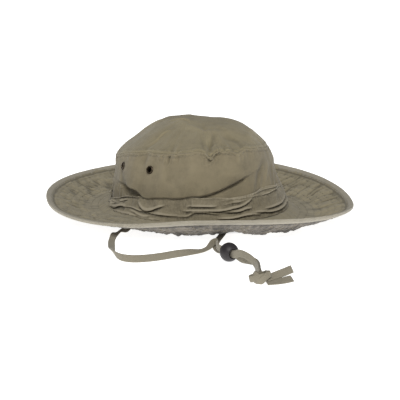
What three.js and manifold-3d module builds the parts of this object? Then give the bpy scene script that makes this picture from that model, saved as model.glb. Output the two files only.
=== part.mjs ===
// Soft cotton safari hat with a loose chin strap and a slider ball.
// Millimetres, +Z up. The hat rests on Z = 0 with its front toward -Y and its eyelets on -X and +X.
// Directions round the hat are degrees from the right side (+X) toward the back (+Y).

import * as THREE from 'three';
import Module from 'manifold-3d';
import { mergeVertices } from 'three/addons/utils/BufferGeometryUtils.js';

// Head opening: an oval of 576 mm round, hat size 58
const HEAD_HALF_WIDTH = 84;
const HEAD_HALF_LENGTH = 99;

// Cloth
const GAP = 0.3;
const WALL_THICKNESS = 1.8;
const BRIM_THICKNESS = 2.0;
const BRIM_EDGE_THICKNESS = 1.2;

// Brim, measured outward from the head oval
const BRIM_FOOT_TOP = 8.0;
const BRIM_SEAT = 1.5;
const BRIM_VALLEY = 19;
const BRIM_TAPER_FROM = 55;
const BRIM_TAPER_TO = 61;
const BRIM_EDGE = 67;
const BRIM_INNER_OFFSETS = [-WALL_THICKNESS, BRIM_SEAT, 13, BRIM_VALLEY - GAP / 2];
const BRIM_OUTER_OFFSETS = [BRIM_VALLEY + GAP / 2, 26, 38, BRIM_TAPER_FROM, BRIM_TAPER_TO, BRIM_EDGE];
const BINDING_INNER = 62;
const BINDING_OUTER = 68.5;
const BINDING_HALF_HEIGHT = 1.8;

// Crown
const WALL_FOOT = BRIM_FOOT_TOP + GAP;
const CROWN_APEX = 95.8;
const TIP_RIM_THICKNESS = 1.0;
const BAND_BOTTOM = 9.4;
const BAND_TOP = 31;
const BAND_RISE = 4.5;
const BAND_RISE_AT = 278;
const BAND_RISE_SPAN = 26;
const BAND_GAP = 0.45;
const BAND_THICKNESS = 2.6;
const BAND_FOLD = 1.1;
const TACK_COUNT = 9;
const TACK_TURN = 19;

// Eyelets
const EYELET_BORE = 2.2;
const EYELET_BARREL = 2.8;
const EYELET_FLANGE = 4.2;
const EYELET_FLANGE_THICKNESS = 0.7;

// Chin strap
const TAPE_WIDTH = 6.5;
const TAPE_THICKNESS = 1.2;
const PAIR_SPACING = 0.8;
const BALL_RADIUS = 8.2;
const BALL_BORE = 3.9;

// Facets round the hat
const STATIONS = 80;

// Brim: heights of its low ring and of its edge, a row a direction.
// A valley under the cloth's thickness is pressed flat on the surface.
const BRIM_ROWS = [
  { at: 0, valley: 0, edge: 21.4 },
  { at: 30, valley: 0, edge: 25 },
  { at: 60, valley: 0, edge: 22.2 },
  { at: 90, valley: 0, edge: 18.8 },
  { at: 120, valley: 0, edge: 16.8 },
  { at: 140, valley: 0, edge: 14.8 },
  { at: 158, valley: 0.6, edge: 12.2 },
  { at: 172, valley: 4.5, edge: 12 },
  { at: 186, valley: 6.2, edge: 13 },
  { at: 202, valley: 3.4, edge: 16.6 },
  { at: 214, valley: 1.6, edge: 21 },
  { at: 224, valley: 1.2, edge: 23.3 },
  { at: 231, valley: 2.8, edge: 23.8 },
  { at: 238, valley: 4.6, edge: 23.8 },
  { at: 245, valley: 3, edge: 23.2 },
  { at: 253, valley: 0, edge: 22.5 },
  { at: 270, valley: -0.5, edge: 19.5 },
  { at: 290, valley: -0.5, edge: 15 },
  { at: 310, valley: -0.5, edge: 11.2 },
  { at: 328, valley: -0.5, edge: 14.6 },
  { at: 344, valley: 0, edge: 18.4 },
];

// Crown wall: height of its top seam, how far the seam leans in, how late the lean comes,
// the slump fold that hangs over the loop band, and how full the tip is on that side.
const CROWN_ROWS = [
  { at: 0, seam: 73, lean: 15, late: 1.3, fold: 36, bulge: 1.5, full: 2.8 },
  { at: 30, seam: 75, lean: 13, late: 1.5, fold: 36, bulge: 2, full: 2.6 },
  { at: 60, seam: 75, lean: 11, late: 1.7, fold: 36, bulge: 2, full: 2.4 },
  { at: 90, seam: 69, lean: 10, late: 2, fold: 35, bulge: 2, full: 2.1 },
  { at: 118, seam: 58.5, lean: 7.5, late: 2.6, fold: 32, bulge: 1.5, full: 1.9 },
  { at: 138, seam: 57, lean: 5.5, late: 3, fold: 28, bulge: 2, full: 1.9 },
  { at: 156, seam: 61.5, lean: 6, late: 2.6, fold: 25.5, bulge: 4.6, full: 2 },
  { at: 176, seam: 67.5, lean: 8, late: 2, fold: 27, bulge: 5, full: 2.1 },
  { at: 188, seam: 69.1, lean: 9, late: 1.9, fold: 25.5, bulge: 5, full: 2.15 },
  { at: 200, seam: 70.5, lean: 10, late: 1.8, fold: 29, bulge: 5, full: 2.2 },
  { at: 220, seam: 73, lean: 11, late: 1.6, fold: 32, bulge: 5, full: 2.3 },
  { at: 232, seam: 73.5, lean: 12, late: 1.5, fold: 35, bulge: 5, full: 2.4 },
  { at: 246, seam: 74.5, lean: 13, late: 1.4, fold: 43, bulge: 5, full: 2.5 },
  { at: 260, seam: 75, lean: 14, late: 1.3, fold: 51, bulge: 3.6, full: 2.7 },
  { at: 274, seam: 74, lean: 15.5, late: 1.2, fold: 53, bulge: 0.6, full: 2.9 },
  { at: 300, seam: 71, lean: 18, late: 1.1, fold: 46, bulge: 0, full: 3.1 },
  { at: 318, seam: 69, lean: 18.5, late: 1, fold: 40, bulge: 0, full: 3.2 },
  { at: 336, seam: 69, lean: 17.5, late: 1.1, fold: 38, bulge: 0.5, full: 3.1 },
];

// Soft dents and ridges of the wall; depth is inward, slant is degrees a millimetre of height
const WALL_FOLDS = [
  { at: 184, span: 4, height: 64, reach: 9, depth: 2.6, slant: 0 },
  { at: 176, span: 9, height: 52, reach: 16, depth: -1.6, slant: 0 },
  { at: 206, span: 7, height: 50, reach: 12, depth: 1.8, slant: -0.5 },
  { at: 235, span: 6, height: 68, reach: 9, depth: 4.6, slant: 0 },
  { at: 226, span: 6, height: 60, reach: 10, depth: -1.6, slant: 0.3 },
  { at: 248, span: 8, height: 56, reach: 10, depth: -2, slant: 0.4 },
  { at: 272, span: 5, height: 38, reach: 14, depth: 2.6, slant: 0.6 },
  { at: 284, span: 5, height: 36, reach: 14, depth: -2.2, slant: 0.5 },
  { at: 296, span: 5, height: 36, reach: 14, depth: 2.2, slant: 0.3 },
  { at: 318, span: 9, height: 56, reach: 7, depth: -2.6, slant: 0 },
  { at: 138, span: 20, height: 33, reach: 15, depth: 7, slant: 0 },
  { at: 100, span: 10, height: 46, reach: 14, depth: 2.6, slant: 0.3 },
  { at: 66, span: 9, height: 52, reach: 14, depth: -2, slant: 0 },
  { at: 40, span: 8, height: 44, reach: 14, depth: 2.4, slant: -0.3 },
  { at: 10, span: 9, height: 42, reach: 12, depth: -1.8, slant: 0 },
];

// Dents and ridges of the tip; out is the share of the way from its middle to the seam
const TIP_FOLDS = [
  { at: 236, out: 0.86, radius: 13, drop: 5.5 },
  { at: 256, out: 0.82, radius: 15, drop: 4 },
  { at: 185, out: 0.88, radius: 11, drop: 3.2 },
  { at: 214, out: 0.62, radius: 20, drop: 1.8 },
  { at: 100, out: 0.55, radius: 24, drop: -2.5 },
  { at: 20, out: 0.7, radius: 20, drop: 2.4 },
  { at: 320, out: 0.6, radius: 22, drop: -1.5 },
  { at: 140, out: 0.75, radius: 16, drop: 2.2 },
];

// Chin strap routes, a row a step. The width of the tape points toward `turn` and `lift` degrees up.
const LEFT_ROUTE = [
  { x: -80.4, y: 1, z: 20, turn: 90, lift: 0 },
  { x: -81.1, y: 1, z: 5.6, turn: 90, lift: 0 },
  { x: -82.6, y: 0.5, z: 2.2, turn: 94, lift: 0 },
  { x: -88, y: -3.5, z: 0.9, turn: 116, lift: 0 },
  { x: -100, y: -13.5, z: 0.8, turn: 129, lift: 0 },
  { x: -112, y: -24, z: 0.8, turn: 127, lift: 0 },
  { x: -120.5, y: -29.8, z: 1.2, turn: 113, lift: 8 },
  { x: -128.5, y: -31.6, z: 1.8, turn: 106, lift: 14 },
  { x: -135.5, y: -34.6, z: 1.5, turn: 121, lift: 8 },
  { x: -142.5, y: -40.8, z: 1.0, turn: 136, lift: 2 },
  { x: -150, y: -49, z: 0.8, turn: 142, lift: 0 },
  { x: -158, y: -59.5, z: 0.8, turn: 145, lift: 3 },
  { x: -167, y: -72, z: 1.7, turn: 140, lift: 22 },
  { x: -174.5, y: -84, z: 2.9, turn: 128, lift: 52 },
  { x: -179.3, y: -95.5, z: 3.3, turn: 112, lift: 72 },
  { x: -180, y: -105, z: 3.3, turn: 92, lift: 76 },
  { x: -175.5, y: -113.5, z: 3.3, turn: 75, lift: 76 },
  { x: -166, y: -119.8, z: 3.3, turn: 70, lift: 72 },
  { x: -153, y: -124, z: 3.3, turn: 72, lift: 70 },
  { x: -139, y: -126.4, z: 3.3, turn: 76, lift: 70 },
  { x: -125, y: -128.6, z: 3.3, turn: 78, lift: 70 },
  { x: -113, y: -130.2, z: 3.3, turn: 80, lift: 72 },
  { x: -104, y: -129.2, z: 3.8, turn: 90, lift: 76 },
  { x: -97.5, y: -126.3, z: 4.9, turn: 96, lift: 80 },
  { x: -92.8, y: -124.6, z: 5.3, turn: 100, lift: 84 },
  { x: -91.2, y: -126.6, z: 5.4, turn: 110, lift: 86 },
  { x: -94.2, y: -130.6, z: 5.6, turn: 140, lift: 86 },
  { x: -101.2, y: -137, z: 6.6, turn: 150, lift: 87 },
  { x: -107.2, y: -144.3, z: 7.9, turn: 160, lift: 88 },
  { x: -110.5, y: -151.3, z: 8.1, turn: 168, lift: 88 },
];

const RIGHT_ROUTE = [
  { x: 79.2, y: -1, z: 20, turn: -90, lift: 0 },
  { x: 81.1, y: -1, z: 5.6, turn: -90, lift: 0 },
  { x: 78.6, y: -1.8, z: 1.6, turn: -84, lift: 0 },
  { x: 70, y: -6.5, z: 0.8, turn: -62, lift: 0 },
  { x: 52, y: -18, z: 0.8, turn: -57, lift: 0 },
  { x: 32, y: -32, z: 0.8, turn: -55, lift: 0 },
  { x: 12, y: -47, z: 0.8, turn: -53, lift: 0 },
  { x: -8, y: -62, z: 0.8, turn: -54, lift: 0 },
  { x: -26, y: -75.5, z: 0.8, turn: -54, lift: 0 },
  { x: -44, y: -88.8, z: 0.8, turn: -54, lift: 0 },
  { x: -61, y: -101, z: 0.8, turn: -53, lift: 0 },
  { x: -74, y: -110, z: 0.8, turn: -51, lift: 0 },
  { x: -84, y: -118, z: 0.8, turn: -48, lift: 0 },
  { x: -91, y: -125.2, z: 0.8, turn: -43, lift: 0 },
  { x: -96.6, y: -132, z: 0.8, turn: -37, lift: 0 },
  { x: -101, y: -139, z: 1.3, turn: -30, lift: 9 },
  { x: -104.4, y: -146, z: 3.8, turn: -27, lift: 46 },
  { x: -107.8, y: -152.2, z: 6.9, turn: -24, lift: 76 },
];

// Both tapes side by side through the ball and down to the knot; spread parts them
const PAIR_ROUTE = [
  { x: -111.1, y: -157.2, z: 8.1, turn: -12, lift: 88, spread: 0 },
  { x: -112.8, y: -165.2, z: 8.2, turn: -12, lift: 89, spread: 0 },
  { x: -114.5, y: -173.4, z: 8.2, turn: -12, lift: 89, spread: 0 },
  { x: -114.8, y: -181, z: 8.4, turn: -4, lift: 86, spread: 1.0 },
  { x: -114.6, y: -188.5, z: 8.4, turn: -2, lift: 82, spread: 1.4 },
  { x: -115.4, y: -196.5, z: 8.0, turn: -14, lift: 74, spread: 0.7 },
  { x: -119, y: -204.2, z: 7.2, turn: -32, lift: 58, spread: 0.1 },
  { x: -124, y: -210.4, z: 6.6, turn: -39, lift: 46, spread: 0 },
  { x: -128.8, y: -215.6, z: 6.1, turn: -40, lift: 44, spread: 0 },
  { x: -132.2, y: -219.8, z: 5.6, turn: -40, lift: 44, spread: 0 },
];

const UPPER_TAIL_ROUTE = [
  { x: -128.1, y: -231.4, z: 6.0, turn: 48, lift: 60 },
  { x: -119.7, y: -233.8, z: 7.0, turn: 50, lift: 58 },
  { x: -110.2, y: -235.1, z: 8.2, turn: 52, lift: 54 },
];

const LOWER_TAIL_ROUTE = [
  { x: -130.4, y: -235, z: 3.3, turn: 48, lift: 60 },
  { x: -122.2, y: -237.6, z: 3.4, turn: 50, lift: 58 },
  { x: -112.8, y: -239.3, z: 3.6, turn: 52, lift: 54 },
];

const BALL_CENTRE = new THREE.Vector3(-112.8, -165.2, BALL_RADIUS);
const BALL_AXIS = new THREE.Vector3(-0.204, -0.979, 0).normalize();
const KNOT_CENTRE = new THREE.Vector3(-137, -226, 5.4);
const KNOT_HALF_SIZE = new THREE.Vector3(8.6, 6.4, 5.2);
const KNOT_TURN = THREE.MathUtils.degToRad(-42);

const EYELET_ROWS = [
  { name: 'eyelet_left_back', at: 165, height: 51 },
  { name: 'eyelet_left_front', at: 190.5, height: 53 },
  { name: 'eyelet_right_front', at: 348, height: 54 },
  { name: 'eyelet_right_back', at: 15, height: 54 },
];

const COLOURS = {
  wall: 0x898069,
  tip: 0x827a64,
  brim: 0x78715f,
  binding: 0x968e7d,
  band: 0x857c66,
  tape: 0x96917a,
  brass: 0x3a3226,
  ball: 0x3a3537,
};

// ---------------------------------------------------------------- tables and curves

// A column of a table of directions, read at any angle by a closed smooth curve.
function readRound(rows, column, angle) {
  const degrees = ((angle % 360) + 360) % 360;
  const count = rows.length;
  let after = rows.findIndex((row) => row.at > degrees);
  if (after < 0) after = count;
  const pick = (index) => {
    const turns = Math.floor(index / count);
    const row = rows[index - turns * count];
    return { at: row.at + 360 * turns, value: row[column] };
  };
  const [a, b, c, d] = [pick(after - 2), pick(after - 1), pick(after), pick(after + 1)];
  const share = (degrees - b.at) / (c.at - b.at);
  const slopeB = ((c.value - a.value) / (c.at - a.at)) * (c.at - b.at);
  const slopeC = ((d.value - b.value) / (d.at - b.at)) * (c.at - b.at);
  const square = share * share;
  const cube = square * share;
  return b.value * (2 * cube - 3 * square + 1) + slopeB * (cube - 2 * square + share)
    + c.value * (3 * square - 2 * cube) + slopeC * (cube - square);
}

function turnBetween(angle, other) {
  return ((((angle - other) % 360) + 540) % 360) - 180;
}

function bell(distance) {
  return Math.exp(-distance * distance);
}

// ---------------------------------------------------------------- surfaces of the hat

// A point off the head oval, and the outward direction there.
function ovalPoint(angle, offset) {
  const turn = THREE.MathUtils.degToRad(angle);
  const outward = new THREE.Vector2(HEAD_HALF_LENGTH * Math.cos(turn), HEAD_HALF_WIDTH * Math.sin(turn));
  outward.normalize();
  const foot = new THREE.Vector2(HEAD_HALF_WIDTH * Math.cos(turn), HEAD_HALF_LENGTH * Math.sin(turn));
  return foot.addScaledVector(outward, offset);
}

function brimThickness(offset) {
  const share = THREE.MathUtils.clamp((offset - BRIM_TAPER_FROM) / (BRIM_TAPER_TO - BRIM_TAPER_FROM), 0, 1);
  return THREE.MathUtils.lerp(BRIM_THICKNESS, BRIM_EDGE_THICKNESS, share);
}

// Height of the middle of the brim's cloth: flat at its seat, down to the low ring, up to the edge.
function brimMiddle(angle, offset) {
  const half = brimThickness(offset) / 2;
  const seat = BRIM_FOOT_TOP - BRIM_THICKNESS / 2;
  const valley = readRound(BRIM_ROWS, 'valley', angle) - BRIM_THICKNESS / 2;
  const edge = readRound(BRIM_ROWS, 'edge', angle);
  let height = seat;
  if (offset > BRIM_VALLEY) {
    const share = (offset - BRIM_VALLEY) / (BINDING_OUTER - BRIM_VALLEY);
    height = valley + (edge - valley) * share ** 1.35;
  } else if (offset > BRIM_SEAT) {
    const share = (offset - BRIM_SEAT) / (BRIM_VALLEY - BRIM_SEAT);
    height = seat + (valley - seat) * THREE.MathUtils.smoothstep(share, 0, 1);
  }
  return Math.max(half, height);
}

// Heights of the crown wall's levels, foot to seam, close together at the slump fold.
function wallLevels(angle) {
  const fold = readRound(CROWN_ROWS, 'fold', angle);
  const seam = readRound(CROWN_ROWS, 'seam', angle);
  const above = fold + 2.5;
  const rise = [0.28, 0.56, 0.82, 1].map((share) => above + (seam - above) * share);
  return [WALL_FOOT, WALL_FOOT + (fold - WALL_FOOT) * 0.55, fold - 1.5, above, ...rise];
}

// How far the wall stands off the head oval.
function wallOffset(angle, height) {
  const seam = readRound(CROWN_ROWS, 'seam', angle);
  const fold = readRound(CROWN_ROWS, 'fold', angle);
  const bulge = readRound(CROWN_ROWS, 'bulge', angle);
  const share = THREE.MathUtils.clamp((height - WALL_FOOT) / (seam - WALL_FOOT), 0, 1);
  let offset = -readRound(CROWN_ROWS, 'lean', angle) * share ** readRound(CROWN_ROWS, 'late', angle);
  const over = height - fold;
  if (over > 0) {
    offset += bulge * THREE.MathUtils.smoothstep(over, 0, 3) * bell(over / 22);
  }
  for (const dent of WALL_FOLDS) {
    const turn = turnBetween(angle, dent.at + dent.slant * (height - dent.height));
    const reach = bell(turn / dent.span) * bell((height - dent.height) / dent.reach);
    offset -= dent.depth * reach * THREE.MathUtils.smoothstep(height, BAND_TOP - 4, BAND_TOP + 4);
  }
  return offset;
}

// The wall's faceted outline at any height, which the loop band follows.
function wallOffsetOnFacets(angle, height) {
  const levels = wallLevels(angle);
  let index = levels.findIndex((level) => level > height);
  if (index < 1) index = 1;
  const below = levels[index - 1];
  const above = levels[index];
  const share = (height - below) / (above - below);
  return THREE.MathUtils.lerp(wallOffset(angle, below), wallOffset(angle, above), share);
}

// Height of the tip's upper side; out is 0 in the middle and 1 at the seam.
function tipHeight(angle, out) {
  const rim = readRound(CROWN_ROWS, 'seam', angle) + GAP + TIP_RIM_THICKNESS;
  let height = CROWN_APEX - (CROWN_APEX - rim) * out ** readRound(CROWN_ROWS, 'full', angle);
  const here = tipPlan(angle, out);
  const inside = 1 - out ** 8;
  for (const dent of TIP_FOLDS) {
    const away = here.distanceTo(tipPlan(dent.at, dent.out));
    height -= dent.drop * bell(away / dent.radius) * inside;
  }
  return height;
}

function tipPlan(angle, out) {
  const seam = readRound(CROWN_ROWS, 'seam', angle);
  return ovalPoint(angle, wallOffset(angle, seam)).multiplyScalar(out);
}

// ---------------------------------------------------------------- closed bodies

// A closed ring or disc: `section` lists its cross-section and `place(angle, point)` puts it in space.
function makeRing(section, place) {
  const loop = section.map((point, index) => new THREE.Vector2(point.axis ? 0 : 1, index));
  if (!section[0].axis) loop.push(loop[0]);
  const geometry = new THREE.LatheGeometry(loop, STATIONS);
  const position = geometry.getAttribute('position');
  for (let index = 0; index < position.count; index += 1) {
    const station = Math.floor(index / loop.length) % STATIONS;
    const point = section[(index % loop.length) % section.length];
    const angle = point.axis ? 0 : (station * 360) / STATIONS;
    const spot = place(angle, point);
    position.setXYZ(index, spot.x, spot.y, spot.z);
  }
  return closeBody(geometry);
}

// Only positions kept, doubles merged, slivers without area dropped, faces turned outward.
function closeBody(geometry) {
  geometry.deleteAttribute('normal');
  geometry.deleteAttribute('uv');
  const merged = mergeVertices(geometry, 1e-4);
  const source = merged.index.array;
  const kept = [];
  for (let start = 0; start < source.length; start += 3) {
    const [a, b, c] = [source[start], source[start + 1], source[start + 2]];
    if (a !== b && b !== c && c !== a) kept.push(a, b, c);
  }
  if (signedVolume(merged, kept) < 0) {
    for (let start = 0; start < kept.length; start += 3) {
      [kept[start], kept[start + 1]] = [kept[start + 1], kept[start]];
    }
  }
  merged.setIndex(kept);
  merged.computeVertexNormals();
  return merged;
}

function signedVolume(geometry, index) {
  const position = geometry.getAttribute('position');
  const [a, b, c] = [new THREE.Vector3(), new THREE.Vector3(), new THREE.Vector3()];
  let volume = 0;
  for (let start = 0; start < index.length; start += 3) {
    a.fromBufferAttribute(position, index[start]);
    b.fromBufferAttribute(position, index[start + 1]);
    c.fromBufferAttribute(position, index[start + 2]);
    volume += a.dot(b.cross(c)) / 6;
  }
  return volume;
}

const wasm = await Module();
wasm.setup();

function toSolid(geometry) {
  const vertProperties = new Float32Array(geometry.getAttribute('position').array);
  const triVerts = new Uint32Array(geometry.index.array);
  return new wasm.Manifold(new wasm.Mesh({ numProp: 3, vertProperties, triVerts }));
}

function fromSolid(solid) {
  const mesh = solid.getMesh();
  const geometry = new THREE.BufferGeometry();
  geometry.setAttribute('position', new THREE.BufferAttribute(mesh.vertProperties, 3));
  geometry.setIndex(new THREE.BufferAttribute(mesh.triVerts, 1));
  geometry.computeVertexNormals();
  return geometry;
}

const group = new THREE.Group();

function addPiece(name, geometry, colour, roughness = 0.95, metalness = 0) {
  const material = new THREE.MeshStandardMaterial({ color: colour, roughness, metalness });
  const mesh = new THREE.Mesh(geometry, material);
  mesh.name = name;
  group.add(mesh);
  return mesh;
}

// ---------------------------------------------------------------- brim and binding

// The brim's cloth is two rings, an inner and an outer, that meet with a gap along its lowest circle.
function makeBrimRing(offsets) {
  const top = offsets.map((offset) => ({ offset, side: 0.5 }));
  const bottom = offsets.map((offset) => ({ offset, side: -0.5 })).reverse();
  return makeRing([...top, ...bottom], (angle, point) => {
    const plan = ovalPoint(angle, point.offset);
    const height = brimMiddle(angle, point.offset) + point.side * brimThickness(point.offset);
    return new THREE.Vector3(plan.x, plan.y, height);
  });
}

// A tape folded over the brim's edge, with the slot that the edge lies in.
function makeBinding() {
  const slot = BRIM_EDGE_THICKNESS / 2 + GAP;
  const high = BINDING_HALF_HEIGHT;
  const shoulder = BINDING_OUTER - 0.9;
  const section = [
    { offset: BINDING_INNER, rise: high },
    { offset: shoulder, rise: high },
    { offset: BINDING_OUTER, rise: 0 },
    { offset: shoulder, rise: -high },
    { offset: BINDING_INNER, rise: -high },
    { offset: BINDING_INNER, rise: -slot },
    { offset: BRIM_EDGE + GAP, rise: -slot },
    { offset: BRIM_EDGE + GAP, rise: slot },
    { offset: BINDING_INNER, rise: slot },
  ];
  return makeRing(section, (angle, point) => {
    const plan = ovalPoint(angle, point.offset);
    return new THREE.Vector3(plan.x, plan.y, brimMiddle(angle, point.offset) + point.rise);
  });
}

// ---------------------------------------------------------------- crown

function makeCrownSide() {
  const count = wallLevels(0).length;
  const outer = Array.from({ length: count }, (_, level) => ({ level, inset: 0 }));
  const inner = Array.from({ length: count }, (_, level) => ({ level, inset: WALL_THICKNESS })).reverse();
  return makeRing([...outer, ...inner], (angle, point) => {
    const height = wallLevels(angle)[point.level];
    const plan = ovalPoint(angle, wallOffset(angle, height) - point.inset);
    return new THREE.Vector3(plan.x, plan.y, height);
  });
}

function makeCrownTip() {
  const shares = [0, 0.3, 0.58, 0.82, 0.94, 1];
  const thickness = (out) => (out === 1 ? TIP_RIM_THICKNESS : WALL_THICKNESS);
  const top = shares.map((out) => ({ out, drop: 0, axis: out === 0 }));
  const bottom = shares.map((out) => ({ out, drop: thickness(out), axis: out === 0 })).reverse();
  return makeRing([...top, ...bottom], (angle, point) => {
    const plan = tipPlan(angle, point.out);
    return new THREE.Vector3(plan.x, plan.y, tipHeight(angle, point.out) - point.drop);
  });
}

// A folded strip round the wall's foot, pinched at each tack and folded lengthwise between. Its top
// climbs the wall at BAND_RISE_AT.
function makeLoopBand() {
  const shares = [0, 0.28, 0.5, 0.74, 1];
  const ridges = [0, 1, -0.7, 0.9, 0];
  const outer = shares.map((share, index) => ({ share, ridge: ridges[index], skin: true }));
  const inner = shares.map((share) => ({ share, ridge: 0, skin: false })).reverse();
  return makeRing([...outer, ...inner], (angle, point) => {
    const highest = BAND_TOP + BAND_RISE * bell(turnBetween(angle, BAND_RISE_AT) / BAND_RISE_SPAN);
    const top = Math.min(highest, readRound(CROWN_ROWS, 'fold', angle) - 2);
    const height = THREE.MathUtils.lerp(BAND_BOTTOM, top, point.share);
    const between = Math.abs(Math.sin(THREE.MathUtils.degToRad(((angle - TACK_TURN) * TACK_COUNT) / 2)));
    let offset = wallOffsetOnFacets(angle, height) + BAND_GAP;
    if (point.skin) offset += BAND_THICKNESS * (0.62 + 0.38 * between) + BAND_FOLD * point.ridge * between;
    const plan = ovalPoint(angle, offset);
    return new THREE.Vector3(plan.x, plan.y, height);
  });
}

// ---------------------------------------------------------------- eyelets

function eyeletFrame(row) {
  const spot = (angle, height) => {
    const plan = ovalPoint(angle, wallOffset(angle, height) - WALL_THICKNESS / 2);
    return new THREE.Vector3(plan.x, plan.y, height);
  };
  const centre = spot(row.at, row.height);
  const along = spot(row.at + 3, row.height).sub(spot(row.at - 3, row.height));
  const up = spot(row.at, row.height + 4).sub(spot(row.at, row.height - 4));
  const outward = along.cross(up).normalize();
  return { centre, outward };
}

// Two flanges joined by a barrel, with the bore open through it.
function makeEyelet() {
  const half = WALL_THICKNESS / 2 + GAP;
  const lip = half + EYELET_FLANGE_THICKNESS;
  const profile = [
    [EYELET_BORE, -lip + 0.2],
    [EYELET_BORE + 0.6, -lip],
    [EYELET_FLANGE, -half - 0.15],
    [EYELET_FLANGE - 0.1, -half],
    [EYELET_BARREL, -half],
    [EYELET_BARREL, half],
    [EYELET_FLANGE - 0.1, half],
    [EYELET_FLANGE, half + 0.15],
    [EYELET_BORE + 0.6, lip],
    [EYELET_BORE, lip - 0.2],
  ].map(([radius, height]) => new THREE.Vector2(radius, height));
  profile.push(profile[0]);
  return closeBody(new THREE.LatheGeometry(profile, 14));
}

function eyeletHole(frame) {
  const tool = new THREE.CylinderGeometry(EYELET_BARREL + GAP, EYELET_BARREL + GAP, 12, 14);
  tool.applyQuaternion(new THREE.Quaternion().setFromUnitVectors(new THREE.Vector3(0, 1, 0), frame.outward));
  tool.translate(frame.centre.x, frame.centre.y, frame.centre.z);
  return toSolid(closeBody(tool));
}

// ---------------------------------------------------------------- chin strap

function widthDirection(row) {
  const turn = THREE.MathUtils.degToRad(row.turn);
  const lift = THREE.MathUtils.degToRad(row.lift);
  const flat = Math.cos(lift);
  return new THREE.Vector3(Math.cos(turn) * flat, Math.sin(turn) * flat, Math.sin(lift));
}

// A flat tape swept along a route, its width held toward each row's direction.
function makeTape(rows) {
  const half = TAPE_WIDTH / 2;
  const thin = TAPE_THICKNESS / 2;
  const section = new THREE.Shape();
  section.moveTo(-half, -thin * 0.45);
  section.lineTo(-half + 0.5, -thin);
  section.lineTo(half - 0.5, -thin);
  section.lineTo(half, -thin * 0.45);
  section.lineTo(half, thin * 0.45);
  section.lineTo(half - 0.5, thin);
  section.lineTo(-half + 0.5, thin);
  section.lineTo(-half, thin * 0.45);
  const steps = rows.length - 1;
  const geometry = new THREE.ExtrudeGeometry(section, { depth: steps, steps, bevelEnabled: false });
  const position = geometry.getAttribute('position');
  for (let index = 0; index < position.count; index += 1) {
    const frame = tapeFrame(rows, Math.round(position.getZ(index)));
    const spot = frame.centre.clone();
    spot.addScaledVector(frame.wide, position.getX(index)).addScaledVector(frame.thick, position.getY(index));
    position.setXYZ(index, spot.x, spot.y, spot.z);
  }
  return closeBody(geometry);
}

function tapeFrame(rows, index) {
  const spot = (row) => new THREE.Vector3(row.x, row.y, row.z);
  const centre = spot(rows[index]);
  const before = spot(rows[Math.max(0, index - 1)]);
  const after = spot(rows[Math.min(rows.length - 1, index + 1)]);
  const arriving = centre.clone().sub(before).normalize();
  const leaving = after.clone().sub(centre).normalize();
  const forward = arriving.add(leaving).normalize();
  const wide = widthDirection(rows[index]);
  wide.addScaledVector(forward, -wide.dot(forward)).normalize();
  const thick = new THREE.Vector3().crossVectors(forward, wide);
  return { centre, wide, thick };
}

// The rows of one tape of the pair, moved off the shared centreline through its thickness.
function pairRows(side) {
  return PAIR_ROUTE.map((row, index) => {
    const { centre, thick } = tapeFrame(PAIR_ROUTE, index);
    centre.addScaledVector(thick, side * (PAIR_SPACING + row.spread));
    return { ...row, x: centre.x, y: centre.y, z: centre.z };
  });
}

function makeBall() {
  const points = [];
  const flat = Math.acos(BALL_BORE / BALL_RADIUS);
  const arc = 12;
  for (let step = 0; step <= arc; step += 1) {
    const turn = THREE.MathUtils.lerp(-flat, flat, step / arc);
    points.push(new THREE.Vector2(BALL_RADIUS * Math.cos(turn), BALL_RADIUS * Math.sin(turn)));
  }
  points.push(points[0]);
  const geometry = closeBody(new THREE.LatheGeometry(points, 24));
  geometry.applyQuaternion(new THREE.Quaternion().setFromUnitVectors(new THREE.Vector3(0, 1, 0), BALL_AXIS));
  return geometry;
}

// A flat lumpy knot with five soft corners.
function makeKnot() {
  const geometry = new THREE.SphereGeometry(1, 20, 10);
  const position = geometry.getAttribute('position');
  for (let index = 0; index < position.count; index += 1) {
    const spot = new THREE.Vector3().fromBufferAttribute(position, index);
    const turn = Math.atan2(spot.y, spot.x);
    const lump = 1 + 0.1 * Math.cos(5 * turn + 0.6) * Math.hypot(spot.x, spot.y);
    spot.multiply(KNOT_HALF_SIZE).multiplyScalar(lump);
    spot.applyAxisAngle(new THREE.Vector3(0, 0, 1), KNOT_TURN);
    position.setXYZ(index, spot.x, spot.y, spot.z);
  }
  return closeBody(geometry);
}

// ---------------------------------------------------------------- the assembly

const eyeletFrames = EYELET_ROWS.map(eyeletFrame);
let wall = toSolid(makeCrownSide());
for (const frame of eyeletFrames) {
  wall = wall.subtract(eyeletHole(frame));
}

addPiece('crown_side', fromSolid(wall), COLOURS.wall);
addPiece('crown_tip', makeCrownTip(), COLOURS.tip);
addPiece('loop_band', makeLoopBand(), COLOURS.band);
addPiece('brim_inner', makeBrimRing(BRIM_INNER_OFFSETS), COLOURS.brim);
addPiece('brim_outer', makeBrimRing(BRIM_OUTER_OFFSETS), COLOURS.brim);
addPiece('brim_binding', makeBinding(), COLOURS.binding);

EYELET_ROWS.forEach((row, index) => {
  const eyelet = addPiece(row.name, makeEyelet(), COLOURS.brass, 0.4, 0.9);
  eyelet.position.copy(eyeletFrames[index].centre);
  eyelet.quaternion.setFromUnitVectors(new THREE.Vector3(0, 1, 0), eyeletFrames[index].outward);
});

addPiece('strap_left', makeTape([...LEFT_ROUTE, ...pairRows(1)]), COLOURS.tape);
addPiece('strap_right', makeTape([...RIGHT_ROUTE, ...pairRows(-1)]), COLOURS.tape);
addPiece('strap_tail_upper', makeTape(UPPER_TAIL_ROUTE), COLOURS.tape);
addPiece('strap_tail_lower', makeTape(LOWER_TAIL_ROUTE), COLOURS.tape);
addPiece('strap_knot', makeKnot(), COLOURS.tape).position.copy(KNOT_CENTRE);
addPiece('slider_ball', makeBall(), COLOURS.ball, 0.45).position.copy(BALL_CENTRE);

export default group;
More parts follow.
